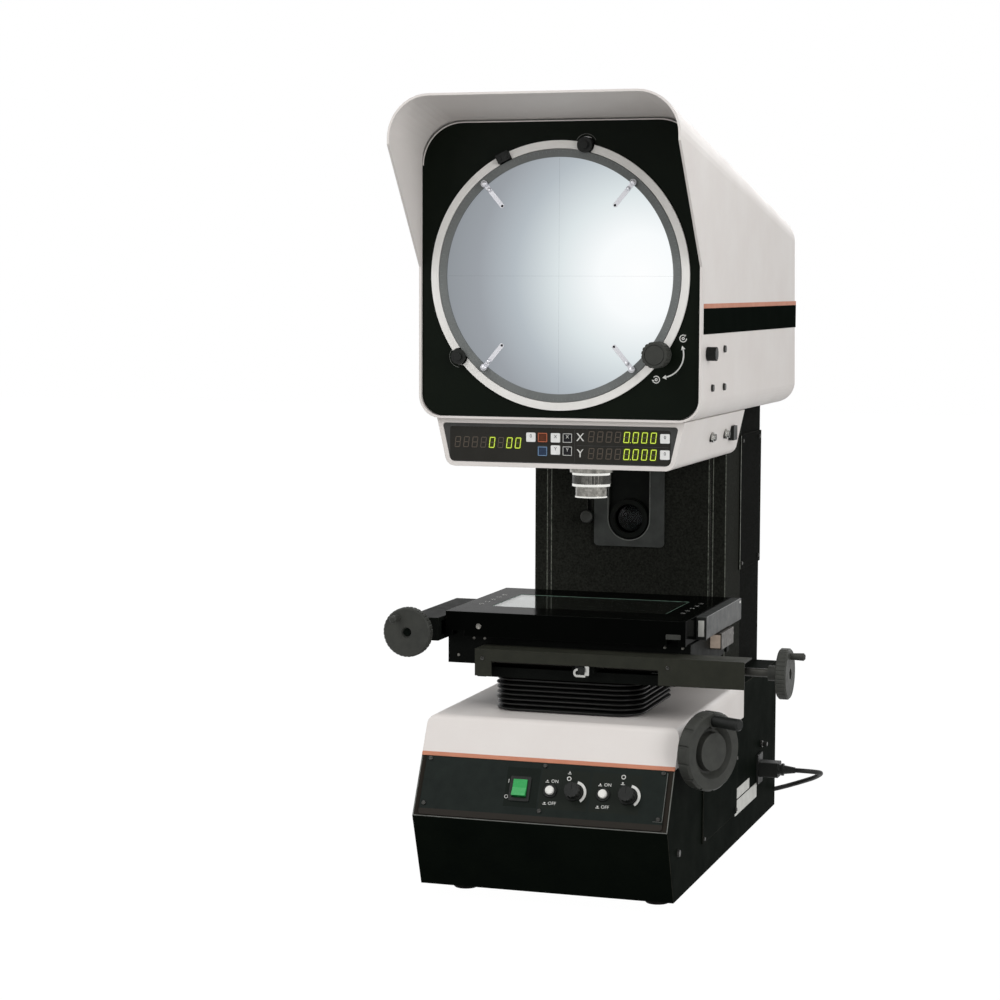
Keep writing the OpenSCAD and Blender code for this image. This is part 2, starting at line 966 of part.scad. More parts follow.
// Tilted mirror plate on two cheeks that stand on the plane z = 0
module mirror_stand(w, len, t, tilt, low) {
  cheek = 5;
  bite = t / 2;
  front = [-len / 2 * cos(tilt), low - len / 2 * sin(tilt)] + bite * [-sin(tilt), cos(tilt)];
  rear = [len / 2 * cos(tilt), low + len / 2 * sin(tilt)] + bite * [-sin(tilt), cos(tilt)];
  inner = unit(rear - front) * 3;
  union() {
    translate([0, 0, low])
      rotate([tilt, 0, 0])
        translate([-w / 2, -len / 2, 0])
          cube([w, len, t]);
    for (s = [-1, 1])
      translate([s * (w / 2 - cheek), 0, 0])
        along_x(cheek)
          polygon([[front[0] + inner[0], 0], [rear[0] - inner[0], 0], rear - inner, front + inner]);
  }
}

module mirrors() {
  floor_in = head_bottom + head_wall + floor_fit;
  color(silver) {
    translate(optic + [0, 0, floor_z])
      mirror_stand(60, 58, 4, -45, beam_z - floor_z);
    translate(optic + [0, 4, floor_in])
      mirror_stand(84, 80, 5, 45, 36);
    translate([0, head_rear - 80, floor_in])
      mirror_stand(head_w - 132, 200, 6, 78, 102);
  }
}

// Column

wrap_t = 2;
wrap_front = column_split - 9;
wrap_low = base_top + 153;
wrap_high = head_bottom - 42;
column_box = [[-column_w / 2, column_front, base_top], [column_w / 2, column_split, head_bottom]];

module stand_column() {
  seam = 1.6;
  rail_low = light_z - sled_h / 2 - 8;
  rail_high = light_z + sled_h / 2 + light_travel + 8;
  inner = column_front + column_wall;
  color(black)
    union() {
      difference() {
        box(column_box[0], column_box[1]);
        box([-column_w / 2 + column_wall, inner, base_top + column_wall],
          [column_w / 2 - column_wall, column_split + 1, head_bottom - column_wall]);
        for (x = [-column_w / 2 + 22, column_w / 2 - 22])
          box([x - seam / 2, column_front - 1, base_top - 1],
            [x + seam / 2, column_front + 1.2, head_bottom + 1]);
        light_recess(column_front - 1, inner + 1, recess_half);
        box([knob_x - stem_r - slide_gap, column_front - 1, knob_z - stem_r - 1],
          [knob_x + stem_r + slide_gap, inner + 1, knob_z + light_travel + stem_r + 1]);
      }
      for (x = [sled_left - slide_gap - guide_w, sled_right + slide_gap])
        box([x, inner, rail_low], [x + guide_w, inner + 12, rail_high]);
    }
}

// U-shaped recess for the surface light, open upwards under the counter
module light_recess(y0, y1, half) {
  translate([0, 0, light_z])
    rod_y(y0, y1, half);
  box([-half, y0, light_z], [half, y1, light_z + light_travel + half]);
}

module column_rear_cover() {
  sheet = 3;
  gap = 0;
  slots = 14;
  color(black)
    difference() {
      union() {
        box([-column_w / 2, column_split + gap, base_top], [column_w / 2, column_rear, head_bottom]);
        box([-column_w / 2 - wrap_t, wrap_front, wrap_low],
          [column_w / 2 + wrap_t, column_rear + wrap_t, wrap_high]);
      }
      box([-column_w / 2, wrap_front - 1, base_top], [column_w / 2, column_split + gap, head_bottom]);
      box([-column_w / 2 + sheet, column_split - 1, base_top + sheet],
        [column_w / 2 - sheet, column_rear - sheet, head_bottom - sheet]);
      for (i = [0 : slots - 1])
        box([-80, column_rear - 2 * sheet, base_top + 120 + i * 12],
          [80, column_rear + wrap_t + 1, base_top + 125 + i * 12]);
    }
}

module surface_light_plate() {
  color(silver)
    difference() {
      along_y(column_front - plate_t, column_front)
        polygon(rounded(rect(-plate_half, plate_low, plate_half, counter_low - 1), [6, 6, 3, 3]));
      light_recess(column_front - plate_t - 1, column_front + 1, recess_half);
    }
}

module surface_light_barrel() {
  inner = column_front + column_wall + slide_gap;
  color(dark)
    difference() {
      union() {
        translate([0, 0, light_z])
          rod_y(light_front, light_back, light_r);
        box([sled_left, inner, light_z - sled_h / 2], [sled_right, inner + sled_t, light_z + sled_h / 2]);
        translate([knob_x, 0, knob_z]) {
          rod_y(column_front - 8, inner + 1, stem_r);
          rod_y(column_front - 8 - knob_t, column_front - 8, knob_r);
        }
      }
      translate([0, 0, light_z]) {
        rod_y(light_front - 1, light_front + 12, light_glass_r + fit_gap);
        rod_y(light_front, light_back - 4, light_glass_r - 3);
      }
    }
}

module surface_lens() {
  color(clear)
    translate([0, light_front + 12, light_z])
      rotate([90, 0, 0])
        lens(light_glass_r, 5, 4);
}

// Head

// Smooth outer form of the head, smaller by the wall d and longer at the front
module head_form(d, front) {
  hull() {
    for (s = [-1, 1]) {
      translate([s * (head_half - roof_r), hood_front + front, head_top - roof_r])
        rotate([-90, 0, 0])
          cylinder(h = 1, r = roof_r - d, $fn = hull_fn);
      translate([s * (head_half - keel_r), hood_front + front, head_bottom + keel_r])
        rotate([-90, 0, 0])
          cylinder(h = 1, r = keel_r - d, $fn = hull_fn);
      translate([s * (head_half - back_r), head_rear - back_r, rear_top - back_r])
        sphere(r = back_r - d, $fn = hull_fn);
      translate([s * (head_half - keel_r), head_rear - keel_r, head_bottom + keel_r])
        sphere(r = keel_r - d, $fn = hull_fn);
    }
  }
}

// Height of the inner roof over the place y
function roof_in(y) =
  let (run = head_rear - back_r - hood_front, fall = head_top - roof_r - rear_top + back_r)
  head_top - head_wall - (y - hood_front) * (fall + roof_r - back_r) / run;

module head_shell() {
  out = hood_front - 60;
  color(pale)
    difference() {
      head_form(0, 0);
      head_form(head_wall, -0.6);
      along_x(head_w + 20)
        polygon([[out, head_bottom - 40], [face_y, head_bottom - 40], [face_y, kink_z],
                         [hood_front, lip_z], [out, lip_z]]);
      translate(optic + [0, 0, head_bottom - 1])
        cylinder(h = head_wall + 2, r = lens_tube_r + 0.3);
      translate([0, -226, 721])
        rod_x(head_half - 2 * head_wall, head_half + 1, 4 + fit_gap);
    }
}

module head_front_panel() {
  half = head_half - head_wall - panel_gap;
  low = head_bottom + head_wall + panel_gap;
  high = roof_in(front_y + front_panel_t) - panel_gap - 0.6;
  color(black)
    difference() {
      along_y(front_y, front_y + front_panel_t)
        polygon(rounded(rect(-half, low, half, high), [keel_r, keel_r, roof_r, roof_r]));
      translate([0, 0, screen_z])
        rod_y(front_y - 1, front_y + front_panel_t + 1, hole_r);
      guide_notches(front_y - 1, front_y + front_panel_t + 1);
    }
}

// Clearance round the rollers and the drive shaft
module guide_notches(y0, y1) {
  for (a = roller_angles)
    translate(on_screen(roller_hub_r, a))
      rod_y(y0, y1, flange_r + 1.5);
  translate(on_screen(drive_hub_r, drive_angle))
    rod_y(y0, y1, drive_r + 1.5);
}

module screen_bezel() {
  color(silver)
    difference() {
      translate([0, 0, screen_z])
        rod_y(front_y - 3, front_y, hole_r + bezel_w);
      translate([0, 0, screen_z])
        rod_y(front_y - 4, front_y + 1, hole_r - 0.4);
      guide_notches(front_y - 4, front_y + 1);
      index_place()
        box([-1, front_y - 4, -index_w / 2 - 0.4], [index_h + 1, front_y + 1, index_w / 2 + 0.4]);
    }
}

// Frame at the index block: X points outwards from the screen edge
module index_place() {
  translate([0, 0, screen_z])
    rotate([0, -index_angle, 0])
      translate([hole_r, 0, 0])
        children();
}

// Bracket behind the front panel: plate, two posts and an axle or a bearing
module guide_bracket(bore) {
  back = bracket_y + bracket_t;
  panel_back = front_y + front_panel_t;
  difference() {
    union() {
      box([-7, bracket_y, -bracket_side - 6], [9, back, bracket_side + 6]);
      for (s = [-1, 1])
        translate([4, 0, s * bracket_side])
          rod_y(panel_back, bracket_y + 1, bracket_post_r);
      if (bore == 0)
        rod_y(roller_front - 2.5, bracket_y + 1, axle_r);
      if (bore == 0)
        rod_y(roller_front - 2.5, roller_front - 0.4, axle_r + 2);
    }
    if (bore > 0)
      rod_y(bracket_y - 1, back + 1, bore);
  }
}

module screen_guides() {
  color(dark) {
    for (a = roller_angles)
      translate(on_screen(roller_hub_r, a))
        rotate([0, -a, 0])
          guide_bracket(0);
    translate(on_screen(drive_hub_r, drive_angle))
      rotate([0, -drive_angle, 0])
        guide_bracket(drive_shaft_r + fit_gap);
    index_place() {
      box([0.4, front_y - index_t, -index_w / 2], [index_h, front_y, index_w / 2]);
      for (s = [-1, 1])
        translate([index_h / 2, 0, s * 5])
          rod_y(front_y - index_t - 1.2, front_y - index_t, 3);
    }
  }
}

module guide_roller(angle) {
  color(black)
    translate(on_screen(roller_hub_r, angle))
      difference() {
        union() {
          rod_y(roller_front, roller_front + flange_t, flange_r);
          rod_y(roller_front, roller_back + flange_t, roller_r);
          rod_y(roller_back, roller_back + flange_t, flange_r);
        }
        rod_y(roller_front - 1, roller_back + flange_t + 1, axle_r + fit_gap);
      }
}

module guide_roller_1() {
  guide_roller(roller_angles[0]);
}

module guide_roller_2() {
  guide_roller(roller_angles[1]);
}

module screen_drive_knob() {
  color(dark)
    translate(on_screen(drive_hub_r, drive_angle))
      difference() {
        union() {
          rod_y(front_y - knob_front, front_y - knob_back, turn_knob_r);
          rod_y(front_y - knob_back - 1, bracket_y + bracket_t + 2, drive_shaft_r);
          rod_y(band_front, band_front + rim_depth, drive_r);
        }
        for (i = [0 : 17])
          rotate([0, i * 20, 0])
            translate([turn_knob_r + 0.7, 0, 0])
              rod_y(front_y - knob_front - 1, front_y - knob_back - 4, 1.6);
        rod_y(front_y - knob_front - 1, front_y - knob_front + 1.5, turn_knob_r - 4);
      }
}

module screen_frame() {
  color(dark)
    translate([0, 0, screen_z])
      difference() {
        rod_y(band_front, band_front + rim_depth, band_r);
        rod_y(band_front - 1, band_front + band_t + 1, glass_r);
        rod_y(band_front + band_t, band_front + rim_depth + 1, band_r - rim_w);
        for (a = clip_angles)
          translate([clip_r * cos(a), 0, clip_r * sin(a)])
            rod_y(band_front - 1, band_front + band_t + 1, 2 + fit_gap);
      }
}

module ground_glass() {
  color(clear)
    translate([0, 0, screen_z])
      rod_y(band_front + band_t, band_front + band_t + glass_thick, band_r - rim_w - glass_fit);
}

// Swivel clip that holds a chart against the screen
module chart_clip(angle) {
  face = band_front - slide_gap;
  color(silver)
    translate([0, 0, screen_z])
      rotate([0, -angle, 0])
        translate([clip_r, 0, 0])
          union() {
            along_y(face - clip_t, face)
              polygon(rounded(rect(-clip_len, -clip_w / 2, 3.5, clip_w / 2), [2.6, 2, 2, 2.6]));
            rod_y(face - clip_t - clip_head_h, face - clip_t + 0.2, clip_head_r);
            rod_y(face - 0.5, band_front + band_t - 0.5, 2);
            translate([-clip_len + 4, 0, 0])
              rod_y(face - 0.2, face + 2.2, 2.2);
            translate([-10, 0, 0])
              rod_y(face - clip_t - 2, face - clip_t + 0.2, 2.4);
          }
}

module chart_clip_1() {
  chart_clip(clip_angles[0]);
}

module chart_clip_2() {
  chart_clip(clip_angles[1]);
}

module chart_clip_3() {
  chart_clip(clip_angles[2]);
}

module chart_clip_4() {
  chart_clip(clip_angles[3]);
}

module rotation_clamp_knob() {
  color(black)
    translate([0, -226, 721])
      difference() {
        union() {
          rod_x(head_half - 22, head_half + 4, 4);
          rod_x(head_half + 0.5, head_half + 13, 9);
          rod_x(head_half - head_wall - 5, head_half - head_wall - 0.4, 7);
        }
        for (i = [0 : 11])
          rotate([i * 30, 0, 0])
            translate([0, 9.6, 0])
              rod_x(head_half + 2, head_half + 14, 1.2);
      }
}

// Counter

function counter_outline(d) =
  inset([[-counter_w / 2 + counter_lean, counter_low], [counter_w / 2 - counter_lean, counter_low],
           [counter_w / 2, head_bottom], [-counter_w / 2, head_bottom]], d);

module counter_housing() {
  back = column_front;
  color(pale)
    difference() {
      along_y(-counter_y, back)
        polygon(rounded(counter_outline(0), [counter_r, counter_r, 0, 0]));
      along_y(-counter_y + counter_wall + window_depth + 1, back - counter_wall)
        polygon(rounded(counter_outline(counter_wall),
                [counter_r - counter_wall, counter_r - counter_wall, 0, 0]));
      along_y(-counter_y - 1, -counter_y + window_depth)
        polygon(rounded(counter_outline(window_rim), [8, 8, 4, 4]));
      translate(optic + [0, 0, counter_low - 1])
        cylinder(h = counter_h + 2, r = lens_tube_r + 1);
      for (y = socket_ys)
        translate([0, y, head_bottom - socket_drop])
          rod_x(counter_w / 2 - counter_lean - 20, counter_w / 2 + 5, 6.5 + fit_gap);
      box([counter_w / 2 - counter_lean - 20, port_y[0] - 0.2, head_bottom - port_drop[0] - 0.2],
        [counter_w / 2 + 5, port_y[1] + 0.2, head_bottom - port_drop[1] + 0.2]);
    }
}

module counter_window() {
  gap = 0.3;
  front = -counter_y;
  color(dark)
    union() {
      along_y(front + key_t, front + window_depth)
        polygon(rounded(counter_outline(window_rim + gap), [8, 8, 4, 4]));
      for (p = key_spots)
        translate([p[0], 0, counter_low + p[1]])
          along_y(front, front + key_t + 0.5)
            polygon(soft_rect(key_w, key_h, 1.5));
    }
}

module objective() {
  floor_in = head_bottom + head_wall + floor_fit;
  color(silver)
    translate(optic)
      difference() {
        union() {
          translate([0, 0, lens_low_z])
            cylinder(h = floor_in + 1 - lens_low_z, r = lens_tube_r);
          translate([0, 0, lens_ring_z])
            cylinder(h = lens_ring_h, r = lens_ring_r);
          translate([0, 0, lens_ring_z + lens_ring_h])
            cylinder(h = counter_low - lens_ring_z - lens_ring_h - 0.5, r = lens_ring_r + 4);
          translate([0, 0, floor_in])
            cylinder(h = lens_flange_h, r = lens_flange_r);
        }
        translate([0, 0, lens_low_z - 1])
          cylinder(h = floor_in + lens_flange_h + 2 - lens_low_z, r = lens_bore_r);
        for (i = [0 : 29])
          rotate([0, 0, i * 12])
            translate([lens_ring_r + 0.5, 0, lens_ring_z + 2])
              cylinder(h = lens_ring_h - 4, r = 1.2);
      }
}

// Bellows between base and saddle

module bellows() {
  fold = (bellows_high - bellows_low) / bellows_n;
  color(black)
    translate([0, bellows_y, 0])
      difference() {
        union() {
          translate([0, 0, bellows_low])
            linear_extrude(height = bellows_high - bellows_low)
              polygon(soft_rect(bellows_w - 10, bellows_w - 10, bellows_r - 5));
          for (i = [0 : bellows_n - 1])
            translate([0, 0, bellows_low + (i + 0.25) * fold])
              linear_extrude(height = fold * 0.5)
                polygon(soft_rect(bellows_w, bellows_w, bellows_r));
        }
        translate([0, 0, bellows_low - 1])
          linear_extrude(height = bellows_high - bellows_low + 2)
            polygon(soft_rect(bellows_w - 2 * bellows_wall, bellows_w - 2 * bellows_wall, bellows_r - 8));
      }
}

// Focus drive

// Half angle of a pinion tooth at the radius r
function tooth_half(r) =
  let (base_r = pitch_r * cos(pressure), a = acos(min(1, base_r / r)))
  let (roll = tan(a) * 180 / PI - a, roll_0 = tan(pressure) * 180 / PI - pressure)
  90 / pinion_n - backlash / pitch_r * 180 / PI + roll_0 - roll;

function tooth_radii(n) =
  let (r0 = pitch_r - dedendum, r1 = pitch_r + gear_m * 0.8)
  [for (i = [0 : n]) r0 + (r1 - r0) * i / n];

function pinion_points() =
  let (radii = tooth_radii(5))
  [for (k = [0 : pinion_n - 1])
    each concat(
      [for (r = radii) let (a = 360 * k / pinion_n - tooth_half(r)) r * [cos(a), sin(a)]],
      [for (i = [len(radii) - 1 : -1 : 0])
        let (r = radii[i], a = 360 * k / pinion_n + tooth_half(r)) r * [cos(a), sin(a)]])];

module focus_pinion() {
  color(silver)
    focus_frame()
      translate([0, -focus_off, focus_z]) {
        along_x(2 * pinion_half)
          polygon(pinion_points());
        rod_x(-shaft_in, focus_reach + focus_t - 5, shaft_r);
      }
}

module lift_column() {
  tip_half = tooth_pitch / 4 - addendum * tan(pressure) - backlash;
  root_half = tooth_pitch / 4 + dedendum * tan(pressure) - backlash;
  root_y = -rack_pitch_y + dedendum;
  color(silver)
    union() {
      difference() {
        translate(optic + [0, 0, lift_low])
          cylinder(h = saddle_bottom - lift_low, r = lift_r);
        translate(optic + [0, 0, lift_low - 1])
          cylinder(h = saddle_bottom - lift_low + 2, r = lift_r - lift_wall);
      }
      focus_frame() {
        box([-rack_half, root_y, rack_low - tooth_pitch],
          [rack_half, -lift_r + 5, rack_low + rack_teeth * tooth_pitch]);
        for (i = [0 : rack_teeth - 1])
          translate([0, 0, rack_low + (i + 0.5) * tooth_pitch])
            along_x(2 * rack_half)
              polygon([[root_y + 0.1, root_half], [-rack_pitch_y - addendum, tip_half],
                                     [-rack_pitch_y - addendum, -tip_half], [root_y + 0.1, -root_half]]);
      }
    }
}

module focus_wheel_frame() {
  focus_frame()
    translate([focus_reach, -focus_off, focus_z])
      children();
}

module focus_handwheel() {
  edge = 3;
  web = 6;
  color(dark)
    focus_wheel_frame()
      difference() {
        rotate([0, 90, 0])
          union() {
            difference() {
              union() {
                cylinder(h = edge, r1 = focus_r - edge, r2 = focus_r);
                translate([0, 0, edge])
                  cylinder(h = focus_t - 2 * edge, r = focus_r);
                translate([0, 0, focus_t - edge])
                  cylinder(h = edge, r1 = focus_r, r2 = focus_r - edge);
              }
              translate([0, 0, web + 5])
                cylinder(h = focus_t, r1 = 29, r2 = 43);
              translate([0, 0, -focus_t + web])
                cylinder(h = focus_t, r = focus_r - 10);
            }
            cylinder(h = focus_t - 2, r = 15);
            translate([0, 0, web])
              cylinder(h = focus_t - web, r1 = 26.5, r2 = 24.4);
            translate([-grip_at, 0, web])
              cylinder(h = focus_t - web + 0.6, r = grip_r + 2);
            translate([-grip_at, 0, focus_t - 2])
              cylinder(h = grip_len - 4, r = grip_pin_r);
          }
        rod_x(-1, focus_t - 5, shaft_r + fit_gap);
        for (i = [0 : scallop_n - 1])
          rotate([i * 360 / scallop_n, 0, 0])
            translate([0, 0, focus_r + 0.2])
              rod_x(-1, focus_t + 1, scallop_r);
      }
}

module focus_grip() {
  start = focus_t + 0.9;
  color(black)
    focus_wheel_frame()
      translate([0, 0, grip_at])
        difference() {
          union() {
            rod_x(start, start + grip_len - 2, grip_r);
            translate([start + grip_len - 2, 0, 0])
              rotate([0, 90, 0])
                cylinder(h = 2, r1 = grip_r, r2 = grip_r - 2);
          }
          rod_x(start - 1, focus_t + grip_len - 5.5, grip_pin_r + fit_gap);
        }
}

// Stage

module stage_saddle() {
  color(dark)
    difference() {
      union() {
        box([-saddle_half, saddle_front, saddle_bottom], [saddle_half, saddle_back, saddle_top]);
        box([lug_left, saddle_front, saddle_bottom], [lug_right + lug_t, carriage_front - 1, saddle_top]);
        for (x = [lug_left, lug_right])
          box([x, cover_front + cover_sheet, saddle_bottom + 4],
            [x + lug_t, cover_back - slide_gap, cover_top - cover_sheet]);
        for (y = [x_rail_front, x_rail_back])
          box([-saddle_half, y - rail_w / 2, saddle_top - 1],
            [saddle_half, y + rail_w / 2, saddle_top + rail_h]);
      }
      translate(optic + [0, 0, saddle_bottom - 1])
        cylinder(h = saddle_h + 2, r = lift_r - lift_wall);
      translate([0, x_screw_y, x_screw_z])
        rod_x(lug_left - 1, lug_right + lug_t + 1, screw_r + fit_gap);
    }
}

module x_rail_cover() {
  color(dark)
    difference() {
      union() {
        box([cover_x0, cover_front, cover_top - cover_sheet], [cover_x1, cover_back, cover_top]);
        box([cover_x0, cover_front, cover_low], [cover_x1, cover_front + cover_sheet, cover_top]);
        box([cover_x0, cover_front, cover_low], [cover_x0 + cover_sheet, cover_back, cover_top]);
      }
      box([cover_window_x0, cover_front - 1, cover_low - 1],
        [cover_window_x1, cover_front + cover_sheet + 1, cover_window_z]);
      box([cover_x0 - 1, saddle_front - slide_gap, cover_low - 1],
        [cover_x0 + cover_sheet + 1, cover_back + 1, saddle_top + slide_gap]);
    }
}

module x_feed_screw() {
  color(silver)
    translate([0, x_screw_y, x_screw_z]) {
      rod_x(lug_left + 1, x_wheel_x + wheel_t - 4, screw_r);
      rod_x(lug_right + lug_t + slide_gap, lug_right + lug_t + 8, screw_r + 3);
    }
}

// Small handwheel on the XY plane, hub behind, crank peg in front
module small_wheel() {
  difference() {
    union() {
      cylinder(h = 2, r1 = wheel_r - 2, r2 = wheel_r);
      translate([0, 0, 2])
        cylinder(h = wheel_t - 4, r = wheel_r);
      translate([0, 0, wheel_t - 2])
        cylinder(h = 2, r1 = wheel_r, r2 = wheel_r - 2);
      translate([0, 0, -14])
        cylinder(h = 15, r = hub_r);
      translate([crank_at, 0, wheel_t - 1])
        cylinder(h = crank_len - 2, r1 = crank_r - 0.8, r2 = crank_r);
      translate([crank_at, 0, wheel_t + crank_len - 3])
        cylinder(h = 2, r1 = crank_r, r2 = crank_r - 2);
    }
    translate([0, 0, -15])
      cylinder(h = wheel_t + 11, r = screw_r + fit_gap);
    translate([0, 0, wheel_t - 3])
      cylinder(h = 4, r = 7);
    for (i = [0 : 35])
      rotate([0, 0, (i + 0.5) * 10])
        translate([wheel_r + 0.6, 0, -1])
          cylinder(h = wheel_t + 2, r = 1.3);
  }
}

module x_handwheel() {
  color(dark)
    translate([x_wheel_x, x_screw_y, x_screw_z])
      rotate([0, 90, 0])
        rotate([0, 0, 180])
          small_wheel();
}

module y_handwheel() {
  color(dark)
    translate([y_screw_x, -y_wheel_y + wheel_t, y_screw_z])
      rotate([90, 0, 0])
        rotate([0, 0, 125])
          small_wheel();
}

module y_feed_screw() {
  color(silver)
    translate([y_screw_x, 0, y_screw_z]) {
      rod_y(-y_wheel_y + 4, y_block_back - 8, screw_r);
      rod_y(y_block_front - 7, y_block_front - slide_gap, screw_r + 3);
    }
}

module x_carriage() {
  light_front_y = -axis_y - light_hole_y;
  light_back_y = -axis_y + light_hole_y;
  groove = rail_w / 2 + slide_gap;
  color(black)
    difference() {
      union() {
        box([-carriage_half, carriage_front, carriage_bottom], [carriage_half, carriage_back, carriage_top]);
        for (x = [-y_rail_x, y_rail_x])
          box([x - rail_w / 2, carriage_front, carriage_top - 1],
            [x + rail_w / 2, carriage_back, carriage_top + rail_h]);
        box([y_block_x0, y_block_front, y_block_low], [y_block_x1, y_block_back, y_block_high]);
        box([y_block_x0, carriage_front, y_block_low], [-carriage_half + 8, y_block_back, carriage_top]);
        box([nut_x - nut_half, x_screw_y - 15, carriage_bottom + 1],
          [nut_x + nut_half, carriage_front + 1, carriage_bottom + 24]);
      }
      box([-light_hole_x, light_front_y, carriage_bottom - 1],
        [light_hole_x, light_back_y, carriage_top + 1]);
      for (y = [x_rail_front, x_rail_back])
        box([-carriage_half - 1, y - groove, carriage_bottom - 1],
          [carriage_half + 1, y + groove, carriage_bottom + rail_h + slide_gap]);
      translate([0, x_screw_y, x_screw_z])
        rod_x(nut_x - nut_half - 1, nut_x + nut_half + 1, screw_r + slide_gap);
      box([y_block_x0 + 5, y_block_front + 13, carriage_top + 1],
        [y_block_x1 + 1, y_block_back - 18, y_block_high - 5]);
      translate([y_screw_x, 0, y_screw_z])
        rod_y(y_block_front - 1, y_block_back - 6, screw_r + fit_gap);
    }
}

module x_release_lever() {
  face = x_screw_y - 15 - slide_gap;
  color(silver)
    translate([nut_x, 0, lever_z])
      union() {
        along_y(face - 3, face)
          polygon(rounded([[-7, -10], [7, -10], [10, -3], [10, 6], [-10, 6], [-10, -3]],
                          [2, 2, 2, 3, 3, 2]));
        along_y(face - 9, face - 2)
          polygon(soft_rect(9, 9, 3));
        rod_y(face - 10, face - 8, 2.8);
      }
}

module stage_table() {
  half = table_w / 2;
  groove = rail_w / 2 + slide_gap;
  glass_y = -axis_y + 3;
  color(silver)
    difference() {
      union() {
        box([-half, table_front, table_bottom], [half, table_back, stage_top]);
        box([y_screw_x - screw_r - 5, y_nut_y - y_nut_half, y_screw_z - 8],
          [-half + 1, y_nut_y + y_nut_half, y_screw_z + 8]);
      }
      box([-glass_w / 2 + glass_ledge, glass_y - glass_d / 2 + glass_ledge, table_bottom - 1],
        [glass_w / 2 - glass_ledge, glass_y + glass_d / 2 - glass_ledge, stage_top + 1]);
      box([-glass_w / 2, glass_y - glass_d / 2, stage_top - glass_t - 0.4],
        [glass_w / 2, glass_y + glass_d / 2, stage_top + 1]);
      for (x = [-y_rail_x, y_rail_x])
        box([x - groove, table_front - 1, table_bottom - 1],
          [x + groove, table_back + 1, table_bottom + rail_h + slide_gap]);
      for (s = [-1, 1], i = [0 : hole_n - 1])
        translate([s * hole_x, glass_y + (i - (hole_n - 1) / 2) * hole_pitch, stage_top - hole_deep])
          cylinder(h = hole_deep + 1, r = hole_bore_r);
      translate([y_screw_x, y_nut_y, y_screw_z])
        rod_y(-y_nut_half - 1, y_nut_half + 1, screw_r + slide_gap);
    }
}

module stage_glass() {
  gap = 0.2;
  glass_y = -axis_y + 3;
  color(clear)
    box([-glass_w / 2 + gap, glass_y - glass_d / 2 + gap, stage_top - glass_t - 0.4],
      [glass_w / 2 - gap, glass_y + glass_d / 2 - gap, stage_top - 0.4]);
}

module y_scale() {
  half = table_w / 2;
  low = table_bottom + 2;
  color(silver)
    union() {
      along_y(scale_front, scale_back)
        polygon(rounded(rect(half, low, half + scale_w, stage_top - 1), [0, 1.5, 1.5, 0]));
      box([half, scale_front - 3, low - 0.5], [half + scale_w, scale_front, stage_top - 1]);
    }
}

module y_reader() {
  top = table_bottom + 2 - 1.2;
  color(black)
    union() {
      box([carriage_half, reader_front, top - reader_h], [carriage_half + reader_w, reader_back, top]);
      translate([carriage_half + reader_w / 2, 0, top - reader_h / 2])
        rod_y(reader_back, reader_back + 16, 5);
    }
}

// Power cord

// Centre line of the free stretch of the cord, from the strain relief to the coil
cord_path = let (x0 = cord_start, y0 = inlet_y, z0 = inlet_z, y1 = coil_y - coil_mid_r - cord_d) [
  [x0, y0, z0], [x0 + 10, y0, z0], [x0 + 20, y0 + 4, z0 - 1], [x0 + 28, y0 + 12, z0 - 3],
  [x0 + 32, y0 + 24, z0 - 6], [x0 + 31, y0 + 38, z0 - 10], [x0 + 25, y0 + 54, z0 - 16],
  [x0 + 14, y0 + 72, z0 - 24], [x0 - 2, y0 + 92, z0 - 33], [x0 - 22, y0 + 112, z0 - 43],
  [x0 - 46, y0 + 132, z0 - 54], [x0 - 74, y0 + 150, z0 - 65], [x0 - 104, y0 + 166, z0 - 76],
  [x0 - 134, y0 + 178, z0 - 85], [x0 - 160, y1 - 4, cord_r + 2.5], [coil_x + 40, y1, cord_r + 0.6],
  [coil_x + 27, y1, cord_r + 0.4]
];

// Tangent of a path at the point i
function path_dir(p, i) =
  unit(p[min(i + 1, len(p) - 1)] - p[max(i - 1, 0)]);

// Ring of n points of radius r round the path point i
function path_ring(p, i, r, n) =
  let (t = path_dir(p, i), side = unit(cross(t, [0, 0, 1])), up = cross(side, t))
  [for (k = [0 : n - 1]) p[i] + r * (side * cos(360 * k / n) + up * sin(360 * k / n))];

module tube(p, r, n) {
  rings = len(p);
  points = [for (i = [0 : rings - 1]) each path_ring(p, i, r, n)];
  walls = [for (i = [0 : rings - 2], k = [0 : n - 1])
        [i * n + k, i * n + (k + 1) % n, (i + 1) * n + (k + 1) % n, (i + 1) * n + k]];
  first = [[for (k = [n - 1 : -1 : 0]) k]];
  last = [[for (k = [0 : n - 1]) (rings - 1) * n + k]];
  polyhedron(points = points, faces = concat(walls, first, last));
}

module power_cord() {
  color(black)
    tube(cord_path, cord_r, 10);
}

module cord_coil() {
  color(black)
    translate([coil_x, coil_y, 0.2])
      rotate_extrude()
        translate([coil_mid_r - coil_wide / 2, 0])
          square([coil_wide, coil_tall]);
}

module power_connector() {
  back = connector_x - socket_deep + 1;
  color(black)
    translate([0, inlet_y, inlet_z])
      union() {
        box([back, -socket_w / 2 + nose_gap, -socket_h / 2 + nose_gap],
          [connector_x + 1, socket_w / 2 - nose_gap, socket_h / 2 - nose_gap]);
        translate([connector_x + 0.3 + connector_len / 2, 0, 0])
          along_x(connector_len)
            polygon(soft_rect(connector_w, connector_h, 4));
        translate([connector_x + connector_len, 0, 0])
          rotate([0, 90, 0])
            union() {
              cylinder(h = relief_len, r1 = cord_r + 4, r2 = cord_r + 0.6);
              translate([0, 0, 4])
                cylinder(h = 3, r = cord_r + 5.4);
            }
      }
}

